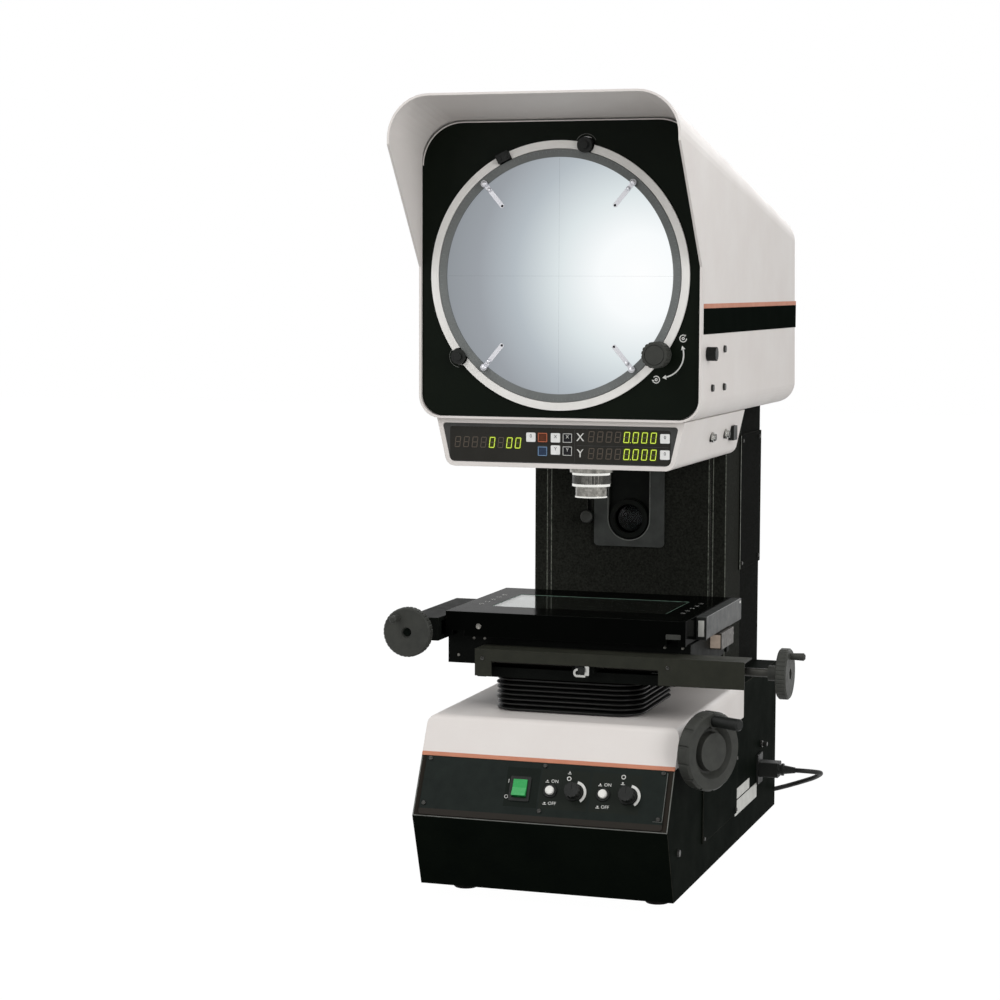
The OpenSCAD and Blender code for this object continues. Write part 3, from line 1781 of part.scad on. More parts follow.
module mains_plug() {
  color(black)
    translate([plug_x, plug_y, 0.3])
      union() {
        linear_extrude(height = plug_t)
          polygon(rounded([[0, -6], [14, -plug_w / 2], [plug_len, -plug_w / 2],
                                     [plug_len, plug_w / 2], [14, plug_w / 2], [0, 6]], [2, 8, 3, 3, 8, 2]));
        for (p = [[-9.5, 0], [0, 3], [9.5, 0]])
          translate([0, p[0], plug_t / 2 + p[1]])
            rod_x(plug_len - 1, plug_len + pin_len, pin_r);
      }
}

base_housing();
top_cover();
control_panel();
casing_screws();
rubber_feet();
panel_fittings();
service_panel();
side_sockets();
column_guide();
lamp_house();
lenses();
mirrors();
stand_column();
column_rear_cover();
surface_light_plate();
head_shell();
head_front_panel();
screen_bezel();
screen_guides();
counter_housing();
counter_window();
objective();
bellows();
power_connector();
power_cord();
cord_coil();
mains_plug();
focus_handwheel();
focus_pinion();
focus_grip();
lift_column();
stage_saddle();
x_rail_cover();
x_feed_screw();
x_handwheel();
x_carriage();
y_reader();
x_release_lever();
y_feed_screw();
y_handwheel();
stage_table();
stage_glass();
y_scale();
surface_light_barrel();
surface_lens();
screen_frame();
ground_glass();
chart_clip_1();
chart_clip_2();
chart_clip_3();
chart_clip_4();
guide_roller_1();
guide_roller_2();
screen_drive_knob();
rotation_clamp_knob();
power_rocker();
contour_button();
surface_button();
contour_dimmer();
surface_dimmer();
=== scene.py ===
"""Bench profile projector: finishes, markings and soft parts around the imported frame."""

import logging
import math
from dataclasses import dataclass
from enum import Enum
from typing import Any, Sequence

import bmesh
import bpy
from mathutils import Matrix, Vector


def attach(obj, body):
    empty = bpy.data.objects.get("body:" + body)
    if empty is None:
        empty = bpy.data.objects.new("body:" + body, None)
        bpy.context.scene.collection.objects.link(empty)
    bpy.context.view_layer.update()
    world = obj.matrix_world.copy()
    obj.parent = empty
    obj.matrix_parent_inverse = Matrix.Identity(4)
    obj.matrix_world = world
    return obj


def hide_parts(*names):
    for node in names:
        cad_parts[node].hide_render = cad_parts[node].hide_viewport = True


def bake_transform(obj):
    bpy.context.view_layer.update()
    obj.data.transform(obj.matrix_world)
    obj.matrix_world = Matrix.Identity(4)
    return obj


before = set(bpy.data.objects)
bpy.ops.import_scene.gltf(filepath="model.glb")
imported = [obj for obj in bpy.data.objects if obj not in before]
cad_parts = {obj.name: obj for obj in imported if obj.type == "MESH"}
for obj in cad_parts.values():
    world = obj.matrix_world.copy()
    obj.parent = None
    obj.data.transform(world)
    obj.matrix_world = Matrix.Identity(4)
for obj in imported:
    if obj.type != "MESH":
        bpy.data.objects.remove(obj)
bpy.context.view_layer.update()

LOG = logging.getLogger("profile_projector")
MM = 0.001
Spot = tuple[float, float]
Point = tuple[float, float, float]
Shade = tuple[int, int, int]
Key = str | int
Tree = bpy.types.NodeTree
Node = bpy.types.Node


class Relief(Enum):
    """Kinds of fine surface relief, named by their shader group."""

    GRAIN = "grain_relief"
    PEBBLE = "pebble_relief"
    BRUSHED = "brushed_relief"


def linear(shade: Shade) -> tuple[float, float, float, float]:
    """Turn a display colour into a linear one.

    Args:
        shade: Red, green and blue from 0 to 255.

    Returns:
        Linear red, green, blue and an alpha of one.
    """
    parts = []
    for value in shade:
        part = value / 255
        parts.append(part / 12.92 if part <= 0.04045 else ((part + 0.055) / 1.055) ** 2.4)
    return (parts[0], parts[1], parts[2], 1.0)


@dataclass(frozen=True)
class Finish:
    """One surface finish: its colours, gloss and fine relief."""

    name: str
    colour: Shade
    shade: Shade
    rough: Spot
    metallic: float = 0.0
    specular: float = 0.5
    mottle: float = 45.0
    relief: Relief = Relief.GRAIN
    relief_scale: float = 1400.0
    relief_depth: float = 0.00005
    # The next two fields paint a pale colour along edges: wear, and on the black paints of the base
    # and column, painted edge highlights.
    scuff_and_highlight: float = 0.0
    scuff_and_highlight_colour: Shade = (190, 188, 182)
    edge: float = 0.0006
    glow: float = 0.0
    cover: float = 1.0


def set_inputs(node: Node, values: dict[Key, Any]) -> None:
    """Set constants on a node's input sockets.

    Args:
        node: The node.
        values: The constants by socket.
    """
    for socket, value in values.items():
        node.inputs[socket].default_value = value


def add_node(tree: Tree, kind: str, values: dict[Key, Any] | None = None, **settings: Any) -> Node:
    """Add a shader node.

    Args:
        tree: The tree to add it to.
        kind: Its type, without the ShaderNode prefix.
        values: Constants for its input sockets.
        settings: Properties of the node itself.

    Returns:
        The new node.
    """
    made = tree.nodes.new(f"ShaderNode{kind}")
    for key, value in settings.items():
        setattr(made, key, value)
    set_inputs(made, values or {})
    return made


def wire(tree: Tree, *links: tuple[Node, Key, Node, Key]) -> None:
    """Link nodes.

    Args:
        tree: The tree that holds them.
        links: For each, a node and its output, then a node and its input.
    """
    for source, out, target, entry in links:
        tree.links.new(source.outputs[out], target.inputs[entry])


class ShaderGroups:
    """The shader groups that the finishes share, each built once."""

    def __init__(self) -> None:
        """Build every group."""
        self.tone = self._tone()
        self.edges = self._edges()
        self.reliefs = {
            Relief.GRAIN: self._relief(Relief.GRAIN, (1, 1, 1), 4.0),
            Relief.PEBBLE: self._pebble(),
            Relief.BRUSHED: self._relief(Relief.BRUSHED, (0.03, 1, 1), 3.0),
        }

    @staticmethod
    def _start(
        name: str, inputs: dict[str, str], outputs: dict[str, str]
    ) -> tuple[Tree, Node, Node]:
        """Make an empty group with its sockets.

        Args:
            name: The group's name.
            inputs: Kinds of the sockets that go in, by name.
            outputs: Kinds of the sockets that come out, by name.

        Returns:
            The tree, its input node and its output node.
        """
        tree = bpy.data.node_groups.new(name, "ShaderNodeTree")
        for in_out, sockets in (("INPUT", inputs), ("OUTPUT", outputs)):
            for label, kind in sockets.items():
                tree.interface.new_socket(label, in_out=in_out, socket_type=f"NodeSocket{kind}")
        return tree, tree.nodes.new("NodeGroupInput"), tree.nodes.new("NodeGroupOutput")

    def _tone(self) -> Tree:
        """Build the colour break-up group.

        Returns:
            A group that puts out a mottled colour and its mask.
        """
        tree, entry, leave = self._start(
            "tone_breakup",
            {"Vector": "Vector", "Colour": "Color", "Shade": "Color", "Scale": "Float"},
            {"Colour": "Color", "Mask": "Float"},
        )
        broad = add_node(tree, "TexNoise", {"Detail": 6.0, "Roughness": 0.62})
        spread = add_node(tree, "MapRange", {"From Min": 0.32, "From Max": 0.68})
        mix = add_node(tree, "Mix", data_type="RGBA")
        wire(tree, (entry, "Vector", broad, "Vector"), (entry, "Scale", broad, "Scale"),
             (broad, "Fac", spread, "Value"), (spread, "Result", mix, "Factor"),
             (entry, "Colour", mix, "A"), (entry, "Shade", mix, "B"),
             (mix, "Result", leave, "Colour"), (spread, "Result", leave, "Mask"))
        return tree

    def _edges(self) -> Tree:
        """Build the soft edge group.

        Returns:
            A group that puts out a rounded normal and a mask of edges, where the finishes paint
            wear and painted edge highlights.
        """
        tree, entry, leave = self._start(
            "soft_edges",
            {"Radius": "Float", "Vector": "Vector"},
            {"Normal": "Vector", "Mask": "Float"},
        )
        bevel = add_node(tree, "Bevel", samples=4)
        surface = add_node(tree, "NewGeometry")
        dot = add_node(tree, "VectorMath", operation="DOT_PRODUCT")
        ramp = add_node(tree, "MapRange", {"From Min": 0.985, "From Max": 0.8})
        patch = add_node(tree, "TexNoise", {"Scale": 90.0, "Detail": 5.0})
        product = add_node(tree, "Math", operation="MULTIPLY")
        wire(tree, (entry, "Radius", bevel, "Radius"), (bevel, "Normal", dot, 0),
             (surface, "Normal", dot, 1), (dot, "Value", ramp, "Value"),
             (entry, "Vector", patch, "Vector"), (ramp, "Result", product, 0),
             (patch, "Fac", product, 1), (bevel, "Normal", leave, "Normal"),
             (product, "Value", leave, "Mask"))
        return tree

    def _height(self, kind: Relief) -> tuple[Tree, Node, Node]:
        """Make the empty group of a relief.

        Args:
            kind: The relief that names the group.

        Returns:
            The tree, its input node and its output node.
        """
        return self._start(kind.value, {"Vector": "Vector", "Scale": "Float"}, {"Height": "Float"})

    def _relief(self, kind: Relief, stretch: Point, detail: float) -> Tree:
        """Build a noise relief.

        Args:
            kind: The relief that names the group.
            stretch: Scale of the pattern along each axis.
            detail: Octaves of the noise.

        Returns:
            A group that puts out a height.
        """
        tree, entry, leave = self._height(kind)
        turn = add_node(tree, "Mapping", {"Scale": stretch})
        noise = add_node(tree, "TexNoise", {"Detail": detail})
        wire(tree, (entry, "Vector", turn, "Vector"), (turn, "Vector", noise, "Vector"),
             (entry, "Scale", noise, "Scale"), (noise, "Fac", leave, "Height"))
        return tree

    def _pebble(self) -> Tree:
        """Build the hammered paint relief.

        Returns:
            A group that puts out the height of rounded cells.
        """
        tree, entry, leave = self._height(Relief.PEBBLE)
        cells = add_node(tree, "TexVoronoi", {"Smoothness": 0.6}, feature="SMOOTH_F1")
        wire(tree, (entry, "Vector", cells, "Vector"), (entry, "Scale", cells, "Scale"),
             (cells, "Distance", leave, "Height"))
        return tree


class FinishShop:
    """Makes each finish's material once and hands it out."""

    screen_stops: tuple[tuple[float, Shade], ...] = (
        (0.0, (252, 253, 253)), (0.2, (247, 250, 251)), (0.4, (219, 227, 229)),
        (0.62, (178, 186, 192)), (0.8, (152, 157, 163)), (1.0, (138, 143, 148)),
    )
    screen_back: Shade = (24, 26, 28)
    smear: float = 0.94
    smear_scale: float = 25.0
    smear_rough: float = 0.06

    def __init__(self) -> None:
        """Start with the shared groups and no materials."""
        self.groups = ShaderGroups()
        self.made: dict[str, bpy.types.Material] = {}

    def material(self, finish: Finish) -> bpy.types.Material:
        """Give the material of a finish.

        Args:
            finish: The finish to make.

        Returns:
            Its material.
        """
        if finish.name not in self.made:
            self._mix(finish)
        return self.made[finish.name]

    def _begin(self, name: str) -> tuple[Tree, Node, Node]:
        """Start a material and keep it by name.

        Args:
            name: The material's name.

        Returns:
            Its tree, its Principled node and its coordinates.
        """
        self.made[name] = bpy.data.materials.new(name)
        self.made[name].use_nodes = True
        tree = self.made[name].node_tree
        return tree, tree.nodes["Principled BSDF"], add_node(tree, "TexCoord")

    @staticmethod
    def _place(tree: Tree, group: Tree, place: Node, values: dict[Key, Any]) -> Node:
        """Put a shared group into a material.

        Args:
            tree: The material's tree.
            group: The group to place.
            place: The coordinates that drive its Vector input.
            values: Constants for its other inputs.

        Returns:
            The placed node.
        """
        node = add_node(tree, "Group", node_tree=group)
        set_inputs(node, values)
        wire(tree, (place, "Object", node, "Vector"))
        return node

    @staticmethod
    def _gloss(tree: Tree, tone: Node, surface: Node, rough: Spot) -> None:
        """Let the mask of the mottle steer the roughness.

        Args:
            tree: The material's tree.
            tone: The colour break-up.
            surface: The Principled node.
            rough: Roughness where the mask is zero and where it is one.
        """
        gloss = add_node(tree, "MapRange", {"To Min": rough[0], "To Max": rough[1]})
        wire(tree, (tone, "Mask", gloss, "Value"), (gloss, "Result", surface, "Roughness"))

    def _mix(self, finish: Finish) -> None:
        """Build a finish's material.

        Args:
            finish: The finish to make.
        """
        tree, surface, place = self._begin(finish.name)
        groups = self.groups
        tone = self._place(tree, groups.tone, place, {
            "Colour": linear(finish.colour), "Shade": linear(finish.shade), "Scale": finish.mottle})
        edges = self._place(tree, groups.edges, place, {"Radius": finish.edge})
        relief = self._place(
            tree, groups.reliefs[finish.relief], place, {"Scale": finish.relief_scale})
        colour = (tone, "Colour")
        # Pale colour along edges: wear, and painted edge highlights where a finish uses it for
        # that.
        if finish.scuff_and_highlight > 0:
            amount = add_node(tree, "Math", {1: finish.scuff_and_highlight}, operation="MULTIPLY")
            scuff_and_highlight_mix = add_node(tree, "Mix", {"B": linear(finish.scuff_and_highlight_colour)}, data_type="RGBA")
            wire(tree, (edges, "Mask", amount, 0), (amount, "Value", scuff_and_highlight_mix, "Factor"),
                 (*colour, scuff_and_highlight_mix, "A"))
            colour = (scuff_and_highlight_mix, "Result")
        self._gloss(tree, tone, surface, finish.rough)
        bump = add_node(tree, "Bump", {"Distance": finish.relief_depth})
        wire(tree, (*colour, surface, "Base Color"), (relief, "Height", bump, "Height"),
             (edges, "Normal", bump, "Normal"), (bump, "Normal", surface, "Normal"))
        set_inputs(surface, {"Metallic": finish.metallic, "Specular IOR Level": finish.specular,
                             "Alpha": finish.cover})
        if finish.glow > 0:
            wire(tree, (*colour, surface, "Emission Color"))
            set_inputs(surface, {"Emission Strength": finish.glow})

    def glass(self, name: str, tint: Shade, rough: float, bend: float) -> bpy.types.Material:
        """Give a clear glass with faint smears.

        Args:
            name: The material's name.
            tint: Colour of the glass.
            rough: Lowest roughness.
            bend: Index of refraction; a coated lens has a low one.

        Returns:
            The glass material.
        """
        if name not in self.made:
            tree, surface, place = self._begin(name)
            shade = tuple(int(part * self.smear) for part in tint)
            tone = self._place(tree, self.groups.tone, place, {
                "Colour": linear(tint), "Shade": linear(shade), "Scale": self.smear_scale})
            self._gloss(tree, tone, surface, (rough, rough + self.smear_rough))
            wire(tree, (tone, "Colour", surface, "Base Color"))
            set_inputs(surface, {"Transmission Weight": 1.0, "IOR": bend})
        return self.made[name]

    def fielded(
        self, finish: Finish, dark: Shade, fields: Sequence[dict[str, Spot]]
    ) -> bpy.types.Material:
        """Paint rectangles of another colour on a finish: printed fields, and on the base's slope a
        painted reflection.

        Args:
            finish: The finish around the rectangles.
            dark: Colour of the rectangles; lighter, not darker, for the slope's painted reflection.
            fields: For each, the middle and the half width along every axis that bounds it.

        Returns:
            The printed material.
        """
        made = self.material(finish)
        tree = made.node_tree
        surface = tree.nodes["Principled BSDF"]
        split = add_node(tree, "SeparateXYZ")
        wire(tree, (add_node(tree, "TexCoord"), "Object", split, "Vector"))
        for bounds in fields:
            inside = None
            for axis, (middle, half) in bounds.items():
                near = add_node(tree, "Math", {1: middle, 2: half}, operation="COMPARE")
                wire(tree, (split, axis, near, 0))
                if inside is not None:
                    both = add_node(tree, "Math", operation="MULTIPLY")
                    wire(tree, (inside, "Value", both, 0), (near, "Value", both, 1))
                    near = both
                inside = near
            over = add_node(tree, "Mix", {"B": linear(dark)}, data_type="RGBA")
            tree.links.new(surface.inputs["Base Color"].links[0].from_socket, over.inputs["A"])
            wire(tree, (inside, "Value", over, "Factor"), (over, "Result", surface, "Base Color"))
        return made

    def lit_screen(self, name: str, centre: Point, reach: float) -> bpy.types.Material:
        """Give the ground glass, lit from behind and brightest at one side.

        Args:
            name: The material's name.
            centre: The brightest point, in metres.
            reach: Distance over which the light falls off.

        Returns:
            The screen material.
        """
        tree, surface, place = self._begin(name)
        shift = add_node(tree, "Mapping", {"Location": [-part for part in centre]})
        length = add_node(tree, "VectorMath", operation="LENGTH")
        fall = add_node(tree, "MapRange", {"From Max": reach})
        ramp = add_node(tree, "ValToRGB")
        elements = ramp.color_ramp.elements
        while len(elements) < len(self.screen_stops):
            elements.new(0.5)
        for element, (spot, shade) in zip(elements, self.screen_stops):
            element.position = spot
            element.color = linear(shade)
        grain = self._place(tree, self.groups.reliefs[Relief.GRAIN], place, {"Scale": 4000.0})
        bump = add_node(tree, "Bump", {"Distance": 0.00002})
        wire(tree, (place, "Object", shift, "Vector"), (shift, "Vector", length, 0),
             (length, "Value", fall, "Value"), (fall, "Result", ramp, "Fac"),
             (ramp, "Color", surface, "Emission Color"), (grain, "Height", bump, "Height"),
             (bump, "Normal", surface, "Normal"))
        set_inputs(surface, {"Emission Strength": 1.0, "Base Color": linear(self.screen_back),
                             "Roughness": 0.55, "Specular IOR Level": 0.08})
        return self.made[name]


PALE_PAINT = Finish("pale_paint", (222, 217, 213), (219, 213, 209), (0.42, 0.52),
                    specular=0.35, mottle=12, relief_scale=1800, relief_depth=0.00004)
# Its pale edges are painted edge highlights.
BASE_BLACK = Finish("base_black_paint", (14, 18, 14), (10, 14, 11), (0.5, 0.6), specular=0.002,
                    mottle=20, relief_scale=1600, relief_depth=0.00005, scuff_and_highlight=0.7,
                    scuff_and_highlight_colour=(118, 114, 104), edge=0.0011)
# The column's hammered paint, set lighter than the rear cover's copy of the same paint: painted
# light. Its pale edges are painted edge highlights.
LIT_HAMMER_PAINT = Finish("lit_hammer_paint", (44, 45, 41), (21, 22, 19), (0.55, 0.68),
                      specular=0.004, mottle=420, relief=Relief.PEBBLE, relief_scale=640,
                      relief_depth=0.0005, scuff_and_highlight=0.6, scuff_and_highlight_colour=(150, 150, 145), edge=0.0012)
# The same hammered paint, set darker for the rear cover: painted shade.
SHADED_HAMMER_PAINT = Finish("shaded_hammer_paint", (14, 15, 13), (11, 12, 10), (0.55, 0.68), specular=0.003,
                    mottle=320, relief=Relief.PEBBLE, relief_scale=640, relief_depth=0.0005,
                    scuff_and_highlight=0.5, scuff_and_highlight_colour=(110, 110, 105), edge=0.0010)
GLOSS_BLACK = Finish("front_gloss_black", (15, 20, 14), (12, 17, 12), (0.32, 0.4), specular=0.04,
                     mottle=18, relief_scale=900, relief_depth=0.00002)
PANEL_DARK = Finish("panel_dark_film", (27, 33, 30), (23, 28, 26), (0.42, 0.52), specular=0.06,
                    mottle=60, relief_scale=2600, relief_depth=0.00004)
COUNTER_DARK = Finish("counter_dark_film", (72, 72, 71), (65, 65, 64), (0.42, 0.5),
                      specular=0.08, mottle=60, relief_scale=2600, relief_depth=0.00003)
BLACK_PLASTIC = Finish("black_plastic", (22, 24, 22), (16, 18, 16), (0.4, 0.55), specular=0.2,
                       mottle=70, relief_scale=2200, relief_depth=0.00008)
KNOB_GREY = Finish("knob_grey_plastic", (58, 59, 55), (50, 51, 48), (0.45, 0.58), specular=0.18,
                   mottle=60, relief_scale=1500, relief_depth=0.0001)
RUBBER = Finish("foot_rubber", (20, 20, 19), (28, 27, 26), (0.7, 0.85), specular=0.1,
                relief_scale=900, relief_depth=0.00012)
SCREW_STEEL = Finish("screw_zinc", (136, 134, 128), (104, 102, 98), (0.3, 0.48), metallic=1.0,
                     mottle=300, relief_scale=2500)
CAST_DARK = Finish("cast_dark_paint", (14, 16, 14), (10, 12, 10), (0.5, 0.6), specular=0.04,
                   mottle=50, relief_scale=900, relief_depth=0.00012, scuff_and_highlight=0.2,
                   scuff_and_highlight_colour=(95, 95, 90))
RAIL_OLIVE = Finish("rail_olive_paint", (43, 44, 37), (36, 37, 31), (0.45, 0.55), specular=0.1,
                    mottle=40, relief_scale=1500, relief_depth=0.00006, scuff_and_highlight=0.25,
                    scuff_and_highlight_colour=(100, 100, 92))
SCREW_DARK = Finish("screw_blacked", (54, 54, 52), (42, 42, 40), (0.3, 0.45), metallic=0.8,
                    mottle=300, relief_scale=2500, scuff_and_highlight=0.5)
FEED_DARK = Finish("feed_screw_dark", (60, 60, 56), (48, 48, 45), (0.32, 0.44), metallic=0.8,
                   mottle=120, relief=Relief.BRUSHED, relief_scale=2000, relief_depth=0.00002)
LAMP_METAL = Finish("lamp_sheet", (140, 142, 142), (112, 114, 114), (0.35, 0.5), metallic=1.0,
                    relief=Relief.BRUSHED, relief_scale=1500)
MIRROR = Finish("front_mirror", (225, 228, 228), (210, 214, 214), (0.03, 0.08), metallic=1.0,
                relief_depth=0.000002)
PLATE_GREY = Finish("plate_grey_paint", (70, 72, 70), (60, 62, 60), (0.5, 0.6), specular=0.05,
                    mottle=50, relief_scale=1200, scuff_and_highlight=0.2, scuff_and_highlight_colour=(110, 112, 108))
BARREL_BLACK = Finish("barrel_black", (13, 16, 12), (10, 12, 10), (0.35, 0.45), specular=0.05,
                      mottle=80, relief_scale=1800)
BEZEL_SILVER = Finish("bezel_silver_paint", (232, 230, 226), (224, 222, 218), (0.38, 0.46),
                      specular=0.4, mottle=30, relief_scale=1800)
BAND_GREY = Finish("band_grey_anodised", (112, 115, 114), (104, 107, 106), (0.42, 0.52),
                   specular=0.2, mottle=40, relief_scale=2200)
BRIGHT_STEEL = Finish("bright_steel", (190, 190, 186), (160, 160, 157), (0.2, 0.34),
                      metallic=1.0, mottle=120, relief=Relief.BRUSHED, relief_scale=2400,
                      relief_depth=0.00002)
LENS_CHROME = Finish("lens_satin_chrome", (158, 156, 150), (92, 91, 86), (0.14, 0.24),
                     metallic=1.0, mottle=150, relief=Relief.BRUSHED, relief_scale=2400,
                     relief_depth=0.000002, edge=0.0003)
KNURL_STEEL = Finish("knurl_steel", (96, 96, 92), (70, 70, 67), (0.25, 0.36), metallic=1.0,
                     mottle=300, relief_depth=0.00001)
POLISHED = Finish("polished_rim", (240, 240, 235), (226, 226, 221), (0.06, 0.12), metallic=1.0,
                  mottle=60, relief_depth=0.000002)
SHAFT_STEEL = Finish("ground_shaft_steel", (150, 150, 147), (128, 128, 126), (0.22, 0.36),
                     metallic=1.0, mottle=90, relief=Relief.BRUSHED, relief_scale=2000,
                     relief_depth=0.00002)
TABLE_BLACK = Finish("table_black_enamel", (6, 7, 6), (5, 6, 5), (0.1, 0.18), specular=0.003,
                     mottle=35, relief_scale=700, relief_depth=0.00001, scuff_and_highlight=0.3,
                     scuff_and_highlight_colour=(120, 122, 118))
SCALE_GREY = Finish("scale_grey_anodised", (54, 56, 55), (47, 49, 48), (0.36, 0.46),
                    metallic=0.15, specular=0.15, mottle=60, relief=Relief.BRUSHED,
                    relief_scale=1800, relief_depth=0.00003, scuff_and_highlight=0.4)
READER_BRONZE = Finish("reader_bronze", (66, 59, 52), (46, 42, 38), (0.35, 0.5),
                       metallic=0.5, mottle=140, relief_scale=1300, scuff_and_highlight=0.6)
READER_PALE = Finish("reader_end_plate", (208, 190, 174), (190, 172, 156), (0.4, 0.5),
                     specular=0.2, mottle=160)
GREEN_LENS = Finish("rocker_green", (52, 164, 88), (40, 138, 72), (0.22, 0.32), mottle=70,
                    specular=0.2, relief_scale=900, relief_depth=0.00003, glow=0.05)
WHITE_PLASTIC = Finish("button_white", (228, 227, 222), (214, 213, 208), (0.35, 0.45), mottle=90,
                       relief_scale=1500)
BELLOWS_BLACK = Finish("bellows_coated_cloth", (11, 11, 10), (17, 17, 16), (0.3, 0.42),
                       specular=0.25, mottle=140, relief_scale=1100, relief_depth=0.0002)
CORD_BLACK = Finish("cord_sheath", (20, 20, 20), (28, 28, 27), (0.5, 0.62), specular=0.25,
                    relief_scale=1800, relief_depth=0.00006)
ACCENT = Finish("accent_orange", (198, 134, 108), (188, 124, 99), (0.45, 0.55), specular=0.12,
                mottle=40, relief_scale=1800)
STRIPE_BLACK = Finish("stripe_black_film", (17, 21, 18), (14, 18, 15), (0.4, 0.5),
                      specular=0.0, mottle=25, relief_scale=1500, relief_depth=0.00002)
MARK_WHITE = Finish("mark_white_ink", (226, 226, 222), (214, 214, 210), (0.5, 0.6),
                    specular=0.2, mottle=200)
LINE_GREY = Finish("crosshair_line", (110, 116, 120), (104, 110, 114), (0.5, 0.6), specular=0.1,
                   mottle=200, glow=0.2, cover=0.3)
TICK_GREY = Finish("degree_tick", (138, 141, 140), (130, 133, 132), (0.5, 0.6), specular=0.1,
                   mottle=200)
CLIP_SILVER = Finish("clip_satin_nickel", (214, 214, 218), (198, 198, 203), (0.24, 0.34),
                     metallic=0.75, mottle=25, relief_depth=0.000002, edge=0.0003)
WINDOW_BLACK = Finish("display_window", (48, 47, 44), (43, 42, 39), (0.25, 0.33), specular=0.05,
                      mottle=30, relief_depth=0.00001)
DIGIT_LIT = Finish("digit_lit", (188, 208, 78), (172, 192, 66), (0.4, 0.5), specular=0.1,
                   mottle=300, glow=0.7)
# Faint glow behind each lit digit: painted light from its lit strokes.
DIGIT_GLOW_HALO = Finish("digit_glow_halo", (52, 56, 26), (46, 50, 22), (0.4, 0.5), specular=0.05, mottle=300,
                   glow=0.2)
DIGIT_OFF = Finish("digit_off", (98, 90, 81), (90, 82, 74), (0.4, 0.5), specular=0.05, mottle=300)
KEY_WHITE = Finish("key_white", (232, 232, 230), (222, 222, 220), (0.4, 0.5), specular=0.2,
                   mottle=200)
KEY_DARK = Finish("key_dark", (30, 30, 32), (25, 25, 27), (0.4, 0.5), specular=0.1, mottle=200)
KEY_BROWN = Finish("key_brown", (92, 52, 36), (80, 45, 32), (0.4, 0.5), specular=0.1, mottle=200)
KEY_BLUE = Finish("key_blue", (48, 62, 84), (42, 54, 74), (0.4, 0.5), specular=0.1, mottle=200)
KEY_ORANGE_LINE = Finish("key_orange_line", (222, 120, 78), (206, 108, 70), (0.4, 0.5),
                         mottle=200)
KEY_BLUE_LINE = Finish("key_blue_line", (132, 168, 206), (120, 156, 194), (0.4, 0.5), mottle=200)
# Pale green line round the stage glass: the glass's green edge tint, partly painted highlight.
GLASS_EDGE_HIGHLIGHT = Finish("glass_edge", (128, 158, 142), (112, 142, 126), (0.2, 0.3), specular=0.3,
                    mottle=200)
# Pale lines along the column's folds and rear cover edge: painted edge highlights.
SEAM_HIGHLIGHT = Finish("seam_highlight_paint", (132, 136, 126), (58, 61, 55), (0.4, 0.5), specular=0.1,
                   mottle=260)
# Pale lines along edges, the light's slot and the rollers: painted edge highlights, along the
# slope's edges partly wear too.
EDGE_HIGHLIGHT = Finish("panel_edge_line", (112, 114, 110), (92, 94, 90), (0.4, 0.5), specular=0.2,
                    mottle=120)
CAP_GREY = Finish("knob_cap_grey", (58, 59, 56), (50, 51, 48), (0.4, 0.5), specular=0.15,
                  mottle=60, relief_scale=1500, scuff_and_highlight=0.4)
PLATE_BARE = Finish("bare_plate", (196, 196, 190), (184, 184, 178), (0.4, 0.5), metallic=0.2,
                    mottle=60, relief=Relief.BRUSHED, relief_scale=1500)
FLOOR_PALE = Finish("studio_floor", (180, 180, 179), (175, 175, 174), (0.7, 0.8), mottle=2,
                    specular=0.1, relief_scale=40)

LENS_GLASS = ("lens_glass", (190, 200, 204), 0.02, 1.18)

STAGE_GLASS = ("stage_plate_glass", (226, 240, 234), 0.02, 1.45)
SHOP = FinishShop()


def dress(finish: Finish, *nodes: str) -> None:
    """Give CAD nodes a finish.

    Args:
        finish: The finish they get.
        nodes: Names of the nodes.
    """
    for name in nodes:
        dress_with(SHOP.material(finish), name)


def dress_with(material: bpy.types.Material, node: str) -> None:
    """Give one CAD node a ready material.

    Args:
        material: The material.
        node: The node's name.
    """
    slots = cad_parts[node].material_slots
    if not slots:
        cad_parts[node].data.materials.append(material)
    for slot in slots:
        slot.material = material
    LOG.info("dressed %s in %s", node, material.name)


def face_frame(depth: float) -> Matrix:
    """Give the frame of a flat front face.

    Args:
        depth: The face's Y, in metres.

    Returns:
        A matrix whose X and Y run along the face and whose Z points out of it.
    """
    return Matrix.Translation((0, depth, 0)) @ Matrix.Rotation(math.pi / 2, 4, "X")


def side_frame(depth: float, sign: int = 1) -> Matrix:
    """Give the frame of a flat side face.

    Args:
        depth: The face's X, in metres.
        sign: One for a right side, minus one for a left side.

    Returns:
        A matrix whose X runs along Y (against it on the left), Y up and Z out of the face.
    """
    turn = Matrix(((0, 0, sign, 0), (sign, 0, 0, 0), (0, 1, 0, 0), (0, 0, 0, 1)))
    return Matrix.Translation((depth, 0, 0)) @ turn


def top_frame(height: float) -> Matrix:
    """Give the frame of a level face.

    Args:
        height: The face's Z, in metres.

    Returns:
        A matrix whose Z points up out of the face.
    """
    return Matrix.Translation((0, 0, height))


def turned(degrees: float) -> Matrix:
    """Give a turn about Z.

    Args:
        degrees: The angle.

    Returns:
        The turn's matrix.
    """
    return Matrix.Rotation(math.radians(degrees), 4, "Z")


def around(centre: Spot, radius: float, degrees: float) -> Spot:
    """Give a point on a circle.

    Args:
        centre: The circle's middle.
        radius: Its radius.
        degrees: The angle from the frame's X.

    Returns:
        The point.
    """
    turn = math.radians(degrees)
    return (centre[0] + radius * math.cos(turn), centre[1] + radius * math.sin(turn))


